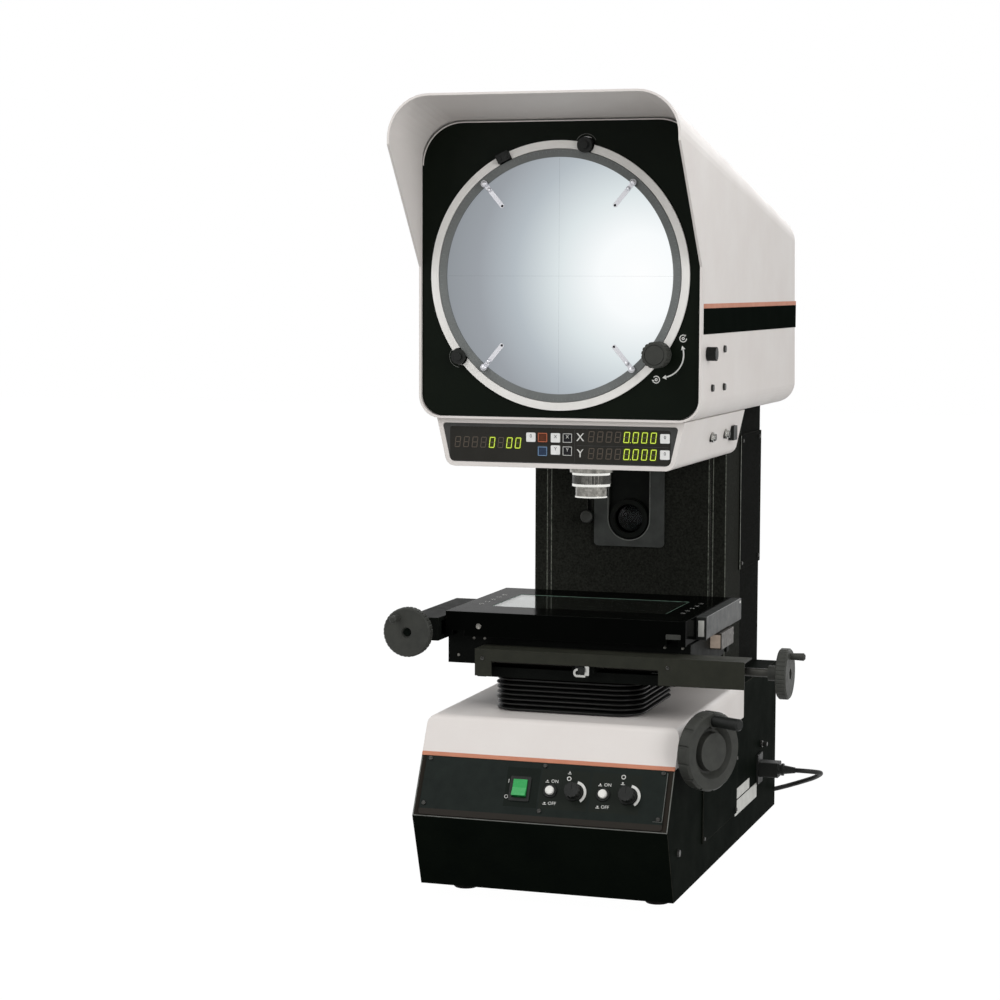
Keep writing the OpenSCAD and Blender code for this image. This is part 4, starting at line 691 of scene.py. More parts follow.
class Piece:
    """A piece in the making: its bmesh, in metres, and the frame of the face it stands on."""

    def __init__(self, seat: Matrix | None = None) -> None:
        """Start an empty piece.

        Args:
            seat: Frame of the face, or none for the world's.
        """
        self.form = bmesh.new()
        self.seat = seat or Matrix()

    def on(self, seat: Matrix) -> "Piece":
        """Move on to another face.

        Args:
            seat: Frame of that face.

        Returns:
            The piece itself.
        """
        self.seat = seat
        return self

    def out(self) -> Vector:
        """Give the direction out of the face.

        Returns:
            A unit vector.
        """
        return (self.seat.to_3x3() @ Vector((0, 0, 1))).normalized()

    def slab(self, centre: Spot, size: Spot, thick: float, corner: float = 0.0) -> None:
        """Add a thin plate with rounded corners.

        Args:
            centre: Middle of the plate on the face.
            size: Width and height.
            thick: Height above the face.
            corner: Corner radius.
        """
        grown = Matrix.Translation((*centre, thick / 2)) @ Matrix.Diagonal((*size, thick, 1.0))
        made = bmesh.ops.create_cube(self.form, size=1.0, matrix=self.seat @ grown)["verts"]
        if corner <= 0:
            return
        out = self.out()
        upright = [
            edge
            for edge in dict.fromkeys(edge for vert in made for edge in vert.link_edges)
            if abs((edge.verts[1].co - edge.verts[0].co).normalized().dot(out)) > 0.9
        ]
        bmesh.ops.bevel(self.form, geom=upright, offset=corner, offset_type="OFFSET", segments=4,
                        profile=0.5, affect="EDGES", material=-1)

    def cone(
        self, spot: Spot, radii: Spot, rise: float, sides: int, heading: float = 0.0
    ) -> list[bmesh.types.BMVert]:
        """Add a low cone or prism.

        Args:
            spot: Its middle on the face.
            radii: Radius at the face and at the top.
            rise: Height above the face.
            sides: Number of sides.
            heading: Angle that it is turned by, in degrees.

        Returns:
            Its vertices.
        """
        place = self.seat @ Matrix.Translation((*spot, rise / 2)) @ turned(heading)
        made = bmesh.ops.create_cone(self.form, cap_ends=True, cap_tris=False, segments=sides,
                                     radius1=radii[0], radius2=radii[1], depth=rise, matrix=place)
        return made["verts"]

    def head(self, spot: Spot, radius: float, rise: float) -> None:
        """Add a low round head with a sunk socket.

        Args:
            spot: Its middle on the face.
            radius: Radius of the head.
            rise: Height above the face.
        """
        out = self.out()
        made = self.cone(spot, (radius, radius * 0.84), rise, 18)
        faces = dict.fromkeys(face for vert in made for face in vert.link_faces)
        top = max((face for face in faces if len(face.verts) > 4),
                  key=lambda face: face.calc_center_median().dot(out))
        bmesh.ops.inset_individual(self.form, faces=[top], thickness=radius * 0.42)
        bmesh.ops.translate(self.form, verts=top.verts, vec=-out * rise * 0.6)

    def arrow(self, tip: Spot, heading: float, size: float, thick: float) -> None:
        """Add a flat triangular arrow head.

        Args:
            tip: Middle of the head on the face.
            heading: Direction in degrees, from the frame's X.
            size: Radius of the triangle.
            thick: Height above the face.
        """
        self.cone(tip, (size, size), thick, 3, heading - 90)

    def arc(
        self,
        centre: Spot,
        radius: float,
        width: float,
        thick: float,
        start: float = 0,
        sweep: float = 360,
    ) -> None:
        """Add a flat band bent along an arc.

        Args:
            centre: Middle of the arc on the face.
            radius: Radius of the band's middle line.
            width: Width of the band.
            thick: Height above the face.
            start: First angle in degrees, from the frame's X.
            sweep: Angle that it covers in degrees.
        """
        spot = self.seat @ Matrix.Translation((*centre, 0)) @ turned(start)
        section = [
            self.form.verts.new(spot @ Vector((radius + side * width / 2, 0, up)))
            for side, up in ((-1, 0), (1, 0), (1, thick), (-1, thick))
        ]
        face = self.form.faces.new(section)
        full = abs(sweep) >= 360
        bmesh.ops.spin(self.form, geom=section + list(face.edges) + ([] if full else [face]),
                       cent=self.seat @ Vector((*centre, 0)), axis=self.out(),
                       angle=math.radians(sweep), steps=max(6, int(abs(sweep) / 6)), use_merge=full,
                       use_duplicate=False)
        if full:
            self.form.faces.remove(face)

    def letters(self, words: str, centre: Spot, height: float, thick: float) -> None:
        """Add a short raised mark, centred on a point.

        Args:
            words: The characters.
            centre: Middle of the mark on the face.
            height: Font size.
            thick: Height above the face.
        """
        font = bpy.data.curves.new("mark", "FONT")
        font.body, font.size, font.extrude = words, height, thick / 2
        font.align_x = font.align_y = "CENTER"
        font.resolution_u = 3
        holder = bpy.data.objects.new("mark", font)
        bpy.context.scene.collection.objects.link(holder)
        bpy.context.view_layer.update()
        graph = bpy.context.evaluated_depsgraph_get()
        mesh = bpy.data.meshes.new_from_object(holder.evaluated_get(graph))
        mesh.transform(self.seat @ Matrix.Translation((*centre, thick / 2)))
        self.form.from_mesh(mesh)
        bpy.data.objects.remove(holder)
        bpy.data.curves.remove(font)
        bpy.data.meshes.remove(mesh)

    def ring(self, corners: Sequence[Point], radius: float, steps: int) -> list[bmesh.types.BMEdge]:
        """Add a closed outline with rounded corners.

        Args:
            corners: Its sharp corners in order.
            radius: Radius of the corners.
            steps: Segments of each corner.

        Returns:
            Its edges.
        """
        verts = [self.form.verts.new(corner) for corner in corners]
        self.form.faces.new(verts)
        bmesh.ops.bevel(self.form, geom=verts, offset=radius, offset_type="OFFSET", segments=steps,
                        profile=0.5, affect="VERTICES", material=-1)
        rim = list(self.form.edges)
        self.form.faces.remove(self.form.faces[:][0])
        return rim

    def extrude(
        self, rim: list[bmesh.types.BMEdge], move: Point
    ) -> tuple[list[bmesh.types.BMVert], list[bmesh.types.BMEdge]]:
        """Draw a rim out into a new row of faces.

        Args:
            rim: Edges of the rim.
            move: How far the new rim lies from it.

        Returns:
            The new rim's vertices and edges.
        """
        made = bmesh.ops.extrude_edge_only(self.form, edges=rim)["geom"]
        verts = [part for part in made if isinstance(part, bmesh.types.BMVert)]
        bmesh.ops.translate(self.form, verts=verts, vec=move)
        return verts, [part for part in made if isinstance(part, bmesh.types.BMEdge)]

    def thicken(self, skin: float) -> None:
        """Turn the open faces into a closed skin.

        Args:
            skin: Its thickness.
        """
        bmesh.ops.recalc_face_normals(self.form, faces=self.form.faces)
        bmesh.ops.solidify(self.form, geom=self.form.faces[:], thickness=skin)

    def settle(self, name: str, finish: Finish, slot: str, body: str = "stand") -> bpy.types.Object:
        """Turn the bmesh into an object that rides on a body.

        Args:
            name: The piece's name.
            finish: The finish of the piece.
            slot: Not used.
            body: The body that it rides on, or nothing for a piece that rides on none.

        Returns:
            The new object.
        """
        bmesh.ops.remove_doubles(self.form, verts=self.form.verts, dist=1e-7)
        bmesh.ops.recalc_face_normals(self.form, faces=self.form.faces)
        mesh = bpy.data.meshes.new(name)
        self.form.to_mesh(mesh)
        self.form.free()
        mesh.materials.append(SHOP.material(finish))
        made = bpy.data.objects.new(name, mesh)
        bpy.context.scene.collection.objects.link(made)
        if body:
            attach(made, body)
        LOG.info("built %s on %s", name, body or "its blend")
        return made


def plates(
    name: str, seat: Matrix, rows: Sequence[tuple], finish: Finish, slot: str, body: str = "stand"
) -> None:
    """Make a piece of thin plates on one face.

    Args:
        name: The piece's name.
        seat: Frame of the face.
        rows: Middle, size, thickness and, where it has one, corner radius of each plate.
        finish: The finish of the piece.
        slot: Not used; passed on to settle, which does not use it either.
        body: The body that it rides on.
    """
    piece = Piece(seat)
    for row in rows:
        piece.slab(*row)
    piece.settle(name, finish, slot, body)


@dataclass
class MainsLead:
    """The mains lead: from its connector to the floor and into a tied coil behind."""

    diameter: float = 0.0070
    exit: Point = (0.227, 0.215, 0.097)
    route: tuple[Point, ...] = (
        (0, 0, 0), (10, 0, 0), (20, 4, -1), (28, 12, -3), (32, 24, -6), (31, 38, -10),
        (25, 54, -16), (14, 72, -24), (-2, 92, -33), (-22, 112, -43), (-46, 132, -54),
        (-74, 150, -65), (-104, 166, -76), (-134, 178, -85), (-160, 185.6, -90.8),
        (-177, 189.6, -92.7), (-190, 189.6, -92.9),
    )
    coil: Spot = (0.010, 0.450)
    coil_out: float = 0.0454
    coil_in: float = 0.0306
    layers: Spot = (0.0040, 0.0113)
    turns: float = 2.0
    steps: int = 40
    entry_run: float = 0.012
    plug_end: float = 0.040
    tie_wide: float = 0.012
    tie_turn: float = 165.0
    tie_skin: float = 0.0003
    tie_corner: float = 0.003
    tie_slack: Spot = (0.0006, 0.0005)
    tie_lift: float = 0.0004

    def _coil_points(self) -> list[Vector]:
        """Wind the coil: in along the floor, up, and out again on top.

        Returns:
            Points from the front of the coil to its rear.
        """
        low, high = self.layers
        legs = (
            (self.turns, self.coil_out, self.coil_in, low, low),
            (0.25, self.coil_in, self.coil_in, low, high),
            (0.25, self.coil_in, self.coil_in, high, high),
            (self.turns, self.coil_in, self.coil_out, high, high),
        )
        points: list[Vector] = []
        angle = -90.0
        for turns, start, end, z_start, z_end in legs:
            count = int(turns * self.steps)
            for step in range(1, count + 1):
                part = step / count
                ease = part * part * (3 - 2 * part)
                spot = around(self.coil, start + (end - start) * part, angle - 360 * turns * part)
                points.append(Vector((*spot, z_start + (z_end - z_start) * ease)))
            angle -= 360 * turns
        return points

    def line(self) -> list[Vector]:
        """Give the lead's middle line.

        Returns:
            Points from the connector to the plug.
        """
        rough = [Vector(self.exit) + Vector(point) * MM for point in self.route]
        for run in (self.entry_run, 0):
            rough.append(Vector((self.coil[0] + run, self.coil[1] - self.coil_out, self.layers[0])))
        smooth: list[Vector] = []
        for index in range(len(rough) - 1):
            before = rough[max(index - 1, 0)]
            here, there = rough[index], rough[index + 1]
            after = rough[min(index + 2, len(rough) - 1)]
            for step in range(4):
                part = step / 4
                smooth.append(0.5 * (
                    2 * here + (there - before) * part
                    + (2 * before - 5 * here + 4 * there - after) * part ** 2
                    + (3 * here - before - 3 * there + after) * part ** 3
                ))
        smooth.append(rough[-1])
        smooth.extend(self._coil_points())
        rear = smooth[-1]
        run = self.plug_end - rear.x
        smooth.extend(Vector((rear.x + run * part / 4, rear.y, rear.z)) for part in range(1, 5))
        return smooth

    def build(self) -> None:
        points = self.line()
        curve = bpy.data.curves.new("mains_lead", "CURVE")
        curve.dimensions = "3D"
        curve.bevel_depth = self.diameter / 2
        curve.bevel_resolution = 4
        curve.use_fill_caps = True
        spline = curve.splines.new("POLY")
        spline.points.add(len(points) - 1)
        for slot, point in zip(spline.points, points):
            slot.co = (*point, 1.0)
        curve.materials.append(SHOP.material(CORD_BLACK))
        lead = bpy.data.objects.new("mains_lead", curve)
        bpy.context.scene.collection.objects.link(lead)
        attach(lead, "stand")
        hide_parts("power_cord", "cord_coil")
        tie = self._tie()
        dress(BLACK_PLASTIC, "mains_plug", "power_connector")

    def _tie(self) -> bpy.types.Object:
        """Make the strap that holds the coil.

        Returns:
            The tie.
        """
        tie = Piece()
        half = (self.coil_out - self.coil_in + self.diameter + self.tie_slack[0]) / 2
        tall = self.layers[1] - self.layers[0] + self.diameter + self.tie_slack[1]
        middle = (self.coil_out + self.coil_in) / 2
        front = -self.tie_wide / 2
        corners = ((-1, self.tie_lift), (1, self.tie_lift), (1, tall), (-1, tall))
        rim = tie.ring(
            [(middle + side * half, front, up) for side, up in corners], self.tie_corner, 5)
        tie.extrude(rim, (0, self.tie_wide, 0))
        tie.thicken(self.tie_skin)
        place = Matrix.Translation((*self.coil, 0)) @ turned(self.tie_turn)
        bmesh.ops.transform(tie.form, matrix=place, verts=tie.form.verts)
        return tie.settle("lead_tie", RUBBER, "rubber_black")


@dataclass(frozen=True)
class Lamp:
    """A soft square lamp: where it stands and points, its side and its watts."""

    name: str
    place: Point
    target: Point
    size: float
    power: float

    def build(self) -> None:
        """Add the lamp."""
        data = bpy.data.lights.new(self.name, "AREA")
        data.size = self.size
        data.energy = self.power
        lamp = bpy.data.objects.new(self.name, data)
        lamp.location = self.place
        aim = Vector(self.target) - Vector(self.place)
        lamp.rotation_euler = aim.to_track_quat("-Z", "Y").to_euler()
        bpy.context.scene.collection.objects.link(lamp)


@dataclass
class Studio:
    """Floor, light and camera."""

    camera_place: Point = (0.913668, -3.304772, 0.810902)
    yaw: float = 18.027
    pitch: float = -5.065
    roll: float = 0.194
    lens: float = 88.167
    floor_size: float = 12.0
    floor_share: float = 0.95
    floor_white: float = 1.047
    ambient: float = 0.42
    lamps: tuple[Lamp, ...] = (
        Lamp("key_light", (3.0, -1.9, 1.5), (0, 0, 0.6), 1.8, 58.0),
        Lamp("fill_light", (-2.2, -2.9, 1.5), (0, 0, 0.6), 2.0, 18.0),
        Lamp("back_light", (0.6, 3.2, 2.2), (0, 0, 0.5), 2.0, 26.0),
        Lamp("top_light", (-1.3, -1.6, 2.7), (0, -0.2, 0.3), 1.4, 32.0),
    )

    def build(self) -> None:
        """Make the camera, the floor and the lights."""
        self._camera()
        self._floor()
        self._world()
        for lamp in self.lamps:
            lamp.build()

    def _camera(self) -> None:
        """Set the camera at the photograph's viewing angle."""
        yaw, pitch, roll = (math.radians(part) for part in (self.yaw, self.pitch, self.roll))
        level = math.cos(pitch)
        ahead = Vector((-math.sin(yaw) * level, math.cos(yaw) * level, math.sin(pitch)))
        right = Vector((math.cos(yaw), math.sin(yaw), 0))
        up = right.cross(ahead)
        across = right * math.cos(roll) + up * math.sin(roll)
        above = up * math.cos(roll) - right * math.sin(roll)
        data = bpy.data.cameras.new("photo_camera")
        data.lens = self.lens
        data.sensor_width = 36.0
        data.clip_end = 60.0
        camera = bpy.data.objects.new("photo_camera", data)
        turn = Matrix((across, above, -ahead)).transposed().to_4x4()
        camera.matrix_world = Matrix.Translation(self.camera_place) @ turn
        bpy.context.scene.collection.objects.link(camera)
        bpy.context.scene.camera = camera

    def _floor(self) -> None:
        """Make the pale floor, which keeps a soft shadow."""
        form = bmesh.new()
        bmesh.ops.create_grid(form, x_segments=4, y_segments=4, size=self.floor_size)
        mesh = bpy.data.meshes.new("studio_floor")
        form.to_mesh(mesh)
        form.free()
        material = SHOP.material(FLOOR_PALE)
        tree = material.node_tree
        share = add_node(tree, "Math", {1: self.floor_share}, operation="MULTIPLY")
        white = add_node(tree, "Emission", {"Strength": self.floor_white})
        blend = add_node(tree, "MixShader")
        wire(tree, (*self._seen(tree), share, 0), (share, "Value", blend, "Fac"),
             (tree.nodes["Principled BSDF"], "BSDF", blend, 1), (white, "Emission", blend, 2),
             (blend, "Shader", tree.nodes["Material Output"], "Surface"))
        mesh.materials.append(material)
        floor = bpy.data.objects.new("studio_floor", mesh)
        bpy.context.scene.collection.objects.link(floor)

    @staticmethod
    def _seen(tree: Tree) -> tuple[Node, Key]:
        """Join the rays that show the background.

        Args:
            tree: The tree to build in.

        Returns:
            A node and its output that is one for camera, glossy and transmission rays.
        """
        rays = add_node(tree, "LightPath")
        total = (rays, "Is Camera Ray")
        for kind in ("Is Glossy Ray", "Is Transmission Ray"):
            most = add_node(tree, "Math", operation="MAXIMUM")
            wire(tree, (*total, most, 0), (rays, kind, most, 1))
            total = (most, "Value")
        return total

    def _world(self) -> None:
        """Make the white surround."""
        world = bpy.data.worlds.new("studio_surround")
        world.use_nodes = True
        bpy.context.scene.world = world
        tree = world.node_tree
        back = tree.nodes["Background"]
        level = add_node(tree, "MapRange", {"To Min": self.ambient, "To Max": 1.0})
        set_inputs(back, {"Color": (1, 1, 1, 1)})
        wire(tree, (*self._seen(tree), level, "Value"), (level, "Result", back, "Strength"))


@dataclass
class BaseUnit:
    """Base housing, its control panel and the marks on it."""

    slope_foot: Spot = (-0.336, 0.116)
    slope_run: Spot = (0.064, 0.124)
    # Lighter brownish tone over the upward-facing slope and the panel's foot: painted reflection.
    slope_painted_sheen: Shade = (42, 39, 35)
    slope_x: Spot = (0.0, 0.1716)
    slope_y: Spot = (-0.300, 0.060)
    slope_z: Spot = (0.1535, 0.0373)
    slope_edge: Point = (0.1710, 0.0415, 0.0800)
    slope_foot_line: Spot = (0.0008, 0.3430)
    slope_line: float = 0.0012
    ink: float = 0.0002
    line: float = 0.0007
    panel_lift: float = 0.0020
    panel_half: float = 0.164
    panel_v: Spot = (0.0115, 0.0819)
    panel_foot_z: Spot = (0.1222, 0.0041)
    upright_line: Spot = (0.0006, 0.006)
    level_line: Point = (0.0068, 0.0027, 0.0120)
    strip_size: Spot = (0.3435, 0.0055)
    strip_up: float = 0.0852
    strip_form: Spot = (0.0012, 0.0006)
    control_up: float = 0.045
    fields_x: tuple[Spot, ...] = ((-0.050, -0.005), (-0.0026, 0.0617), (0.065, 0.131))
    fields_z: Spot = (0.159, 0.0235)
    switch_print: Shade = (16, 22, 18)
    lamp_print: Shade = (27, 31, 27)
    switch_x: float = -0.030
    buttons_x: Spot = (0.011, 0.082)
    dimmers_x: Spot = (0.043, 0.115)
    switch_signs: tuple[tuple[str, float, float], ...] = (
        ("I", -0.0165, 0.0095), ("O", -0.0172, -0.0115))
    words: tuple[tuple[str, float], ...] = (("ON", 0.0130), ("OFF", -0.0165))
    letter_tall: Spot = (0.0070, 0.0062)
    word_shift: float = 0.0045
    symbol_shift: float = -0.0055
    symbol_bar: Point = (-0.0016, 0.0050, 0.0008)
    symbol_tip: Spot = (0.0004, 0.0016)
    dimmer_shift: Spot = (0.0008, -0.009)
    dimmer_band: Spot = (0.0138, 0.0036)
    dimmer_sweep: tuple[int, int] = (-52, 132)
    dimmer_signs_up: tuple[Spot, ...] = ((0.0180, 0.0260), (0.0250, 0.0167))
    ring_form: Spot = (0.0025, 0.0010)
    side: float = 0.172
    rating_plates: tuple[tuple[Spot, Spot, float, float], ...] = (
        ((0.128, 0.0675), (0.146, 0.021), 0.0004, 0.001),
        ((0.1025, 0.0875), (0.095, 0.015), 0.0004, 0.001),
    )

    def slope(self, lift: float = 0.0) -> Matrix:
        """Give the sloping front's frame.

        Args:
            lift: Height above the slope.

        Returns:
            A matrix whose X runs along the base, Y up the slope and Z out of it.
        """
        turn = math.atan2(self.slope_run[1], self.slope_run[0])
        return (Matrix.Translation((0, *self.slope_foot)) @ Matrix.Rotation(turn, 4, "X")
                @ Matrix.Translation((0, 0, lift)))

    def build(self) -> None:
        """Dress the base and add its strip, marks and plate."""
        # The slope gets the lighter tone of a painted reflection.
        slope = {"X": self.slope_x, "Y": self.slope_y, "Z": self.slope_z}
        dress_with(SHOP.fielded(BASE_BLACK, self.slope_painted_sheen, [slope]), "base_housing")
        dress(BASE_BLACK, "service_panel")
        dress(PALE_PAINT, "top_cover")
        switch, *lamps = [
            {"X": ((low + high) / 2, (high - low) / 2), "Z": self.fields_z}
            for low, high in self.fields_x
        ]
        # The panel's foot gets the same painted reflection.
        SHOP.fielded(PANEL_DARK, self.slope_painted_sheen, [{"Z": self.panel_foot_z}])
        SHOP.fielded(PANEL_DARK, self.switch_print, [switch])
        dress_with(SHOP.fielded(PANEL_DARK, self.lamp_print, lamps), "control_panel")
        dress(SCREW_DARK, "casing_screws")
        dress(RUBBER, "rubber_feet")
        dress(BLACK_PLASTIC, "panel_fittings", "side_sockets", "contour_dimmer", "surface_dimmer")
        dress(GREEN_LENS, "power_rocker")
        dress(WHITE_PLASTIC, "contour_button", "surface_button")
        dress(CAST_DARK, "column_guide")
        dress(LAMP_METAL, "lamp_house")
        dress_with(SHOP.glass(*LENS_GLASS), "lenses")
        dress(MIRROR, "mirrors")
        strip = ((0, self.strip_up), self.strip_size, *self.strip_form)
        plates("accent_strip", self.slope(), [strip], ACCENT, "cover_pale")
        self._marks()
        self._lines()
        plates("bare_rating_plate", side_frame(self.side), self.rating_plates, PLATE_BARE,
               "plate_grey")

    def _marks(self) -> None:
        """Add the panel's white marks."""
        marks = Piece(self.slope(self.panel_lift))
        level, ink = self.control_up, self.ink
        sign_tall, word_tall = self.letter_tall
        band_shift, ring_shift = self.dimmer_shift
        for word, across, up in self.switch_signs:
            marks.letters(word, (self.switch_x + across, level + up), sign_tall, ink)
        for button, dimmer, (ring, sign) in zip(
            self.buttons_x, self.dimmers_x, self.dimmer_signs_up
        ):
            for word, up in self.words:
                marks.letters(word, (button + self.word_shift, level + up), word_tall, ink)
                self._lamp_symbol(marks, (button + self.symbol_shift, level + up), word == "ON")
            marks.arc((dimmer + band_shift, level), *self.dimmer_band, ink, *self.dimmer_sweep)
            left = dimmer + ring_shift
            marks.arc((left, level + ring), *self.ring_form, ink)
            self._lamp_symbol(marks, (left, level + sign), sign > ring)
        marks.settle("panel_marks", MARK_WHITE, "panel_dark")

    def _lines(self) -> None:
        """Add pale lines along the edges of the panel and of the slope: painted highlights, along
        the slope partly wear too.
        """
        low, high = self.panel_v
        half = self.panel_half
        inset, trim = self.upright_line
        back, up, run = self.level_line
        plates("panel_edge_highlights", self.slope(self.panel_lift), [
            ((half - inset, (low + high) / 2), (self.line, high - low - trim), self.ink),
            ((half - back, low + up), (run, self.line), self.ink),
        ], EDGE_HIGHLIGHT, "panel_dark")
        side, middle, tall = self.slope_edge
        up, run = self.slope_foot_line
        plates("slope_edge_highlights", self.slope(), [
            ((0, up), (run, self.slope_line), self.ink),
            *(((sign * side, middle), (self.slope_line, tall), self.ink) for sign in (-1, 1)),
        ], EDGE_HIGHLIGHT, "housing_black")

    def _lamp_symbol(self, marks: Piece, spot: Spot, lit: bool) -> None:
        """Add a small lamp sign.

        Args:
            marks: The piece to add to.
            spot: Its middle on the panel.
            lit: True for the sign that points up.
        """
        up, wide, tall = self.symbol_bar
        marks.slab((spot[0], spot[1] + up), (wide, tall), self.ink)
        up, size = self.symbol_tip
        marks.arrow((spot[0], spot[1] + up), 90 if lit else -90, size, self.ink)


@dataclass
class Bellows:
    """The square bellows between the base and the stage."""

    centre: Spot = (0.0, -0.118)
    half: float = 0.1035
    corner: float = 0.036
    low: float = 0.240
    high: float = 0.2858
    folds: int = 7
    depth: float = 0.010
    slack: float = 0.0012
    sway: float = 2.3
    roundness: float = 2.6
    skin: float = 0.0009
    steps: int = 8

    def _inset(self, fold: int, share: float) -> float:
        """Give how far the skin lies inside its outline.

        Args:
            fold: Number of the fold, from the bottom.
            share: Place within the fold, from zero to one.

        Returns:
            The inset in metres: none at the round crest, most in the groove.
        """
        slack = self.slack * (0.5 + 0.5 * math.sin(self.sway * fold))
        return slack + (self.depth - slack) * abs(2 * share - 1) ** self.roundness

    def build(self) -> None:
        """Make the folded skin in place of the CAD bellows."""
        cloth = Piece()
        rim = cloth.ring([
            (self.centre[0] + x * self.half, self.centre[1] + y * self.half, self.low)
            for x, y in ((-1, -1), (1, -1), (1, 1), (-1, 1))
        ], self.corner, 10)
        rise = (self.high - self.low) / self.folds / self.steps
        about = Matrix.Translation((*self.centre, 0)).inverted()
        reach = self.half - self._inset(0, 0)
        start = reach / self.half
        bmesh.ops.scale(cloth.form, verts=cloth.form.verts, vec=(start, start, 1), space=about)
        for fold in range(self.folds):
            for step in range(1, self.steps + 1):
                verts, rim = cloth.extrude(rim, (0, 0, rise))
                wanted = self.half - self._inset(fold, step / self.steps)
                grow = (wanted / reach, wanted / reach, 1)
                bmesh.ops.scale(cloth.form, verts=verts, vec=grow, space=about)
                reach = wanted
        cloth.thicken(self.skin)
        skin = cloth.settle("stage_bellows", BELLOWS_BLACK, "bellows_black", "")
        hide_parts("bellows")
        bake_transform(skin)


@dataclass
class ColumnUnit:
    """Column, surface light and objective."""

    light_knob: Spot = (-0.060, 0.474)
    knob_face: float = 0.0905
    knob_cap: Spot = (0.0090, 0.0012)
    plate_face: float = 0.1045
    slot_rim: Spot = (0.0312, 0.472)
    rim_wide: float = 0.0014
    rim_thick: float = 0.0003
    plate_top: float = 0.566
    column_face: float = 0.1085
    column_z: Spot = (0.2405, 0.6325)
    seams_x: tuple[float, ...] = (-0.1241, -0.1177, 0.1173, 0.1237, 0.1419)
    seam_wide: float = 0.0012
    wrap_wide: float = 0.0030
    seam_thick: float = 0.0002
    wrap_edge: tuple[float, float, float, float] = (0.1445, 0.1957, 0.394, 0.590)
    objective_y: float = -0.092
    rims: tuple[Point, ...] = (
        (0.0263, 0.5350, 0.0036), (0.0263, 0.5505, 0.0034), (0.0223, 0.5196, 0.0022))
    ribs: int = 84
    rib_foot: float = 0.5388
    rib_radius: float = 0.0261
    rib_size: Spot = (0.0007, 0.0012)
    rib_tall: float = 0.0115
    ring_wide: float = 0.0012

    def build(self) -> None:
        """Dress the column and what it carries, and cap the light's knob."""
        # One hammered paint in a lit and a shaded copy: painted light on the column, painted shade
        # on its rear cover.
        dress(LIT_HAMMER_PAINT, "stand_column")
        dress(SHADED_HAMMER_PAINT, "column_rear_cover")
        dress(PLATE_GREY, "surface_light_plate")
        dress(BARREL_BLACK, "surface_light_barrel")
        dress_with(SHOP.glass(*LENS_GLASS), "surface_lens")
        dress(LENS_CHROME, "objective")
        cap = Piece(face_frame(self.knob_face))
        cap.head(self.light_knob, *self.knob_cap)
        cap.settle("light_knob_cap", CAP_GREY, "barrel_black", "surface_light")
        self._slot_rim()
        self._seams()
        self._objective()

    def _slot_rim(self) -> None:
        """Add a painted highlight along the edge of the U-shaped slot in the light's plate."""
        rim = Piece(face_frame(self.plate_face))
        radius, low = self.slot_rim
        rim.arc((0, low), radius, self.rim_wide, self.rim_thick, 180, 180)
        for sign in (-1, 1):
            rim.slab((sign * radius, (low + self.plate_top) / 2),
                     (self.rim_wide, self.plate_top - low), self.rim_thick)
        rim.settle("light_slot_highlight", EDGE_HIGHLIGHT, "plate_grey")

    def _seams(self) -> None:
        """Add painted highlight lines along the column's folds and along the edge of its rear
        cover.
        """
        seams = Piece(face_frame(self.column_face))
        low, high = self.column_z
        for x in self.seams_x:
            seams.slab((x, (low + high) / 2), (self.seam_wide, high - low), self.seam_thick)
        side, y, low, high = self.wrap_edge
        for sign in (-1, 1):
            seams.on(side_frame(sign * side, sign)).slab(
                (sign * y, (low + high) / 2), (self.wrap_wide, high - low), self.seam_thick)
        seams.settle("column_seam_highlights", SEAM_HIGHLIGHT, "housing_black")

    def _objective(self) -> None:
        """Add the objective's polished rims and its knurled grip."""
        rims, ribs = Piece(), Piece()
        for radius, base, tall in self.rims:
            rims.on(top_frame(base)).arc((0, self.objective_y), radius, self.ring_wide, tall)
        for index in range(self.ribs):
            place = Matrix.Translation((0, self.objective_y, self.rib_foot))
            ribs.on(place @ turned(360 * index / self.ribs)).slab(
                (self.rib_radius, 0), self.rib_size, self.rib_tall)
        rims.settle("objective_rims", POLISHED, "lens_silver")
        ribs.settle("objective_knurl", KNURL_STEEL, "lens_silver")


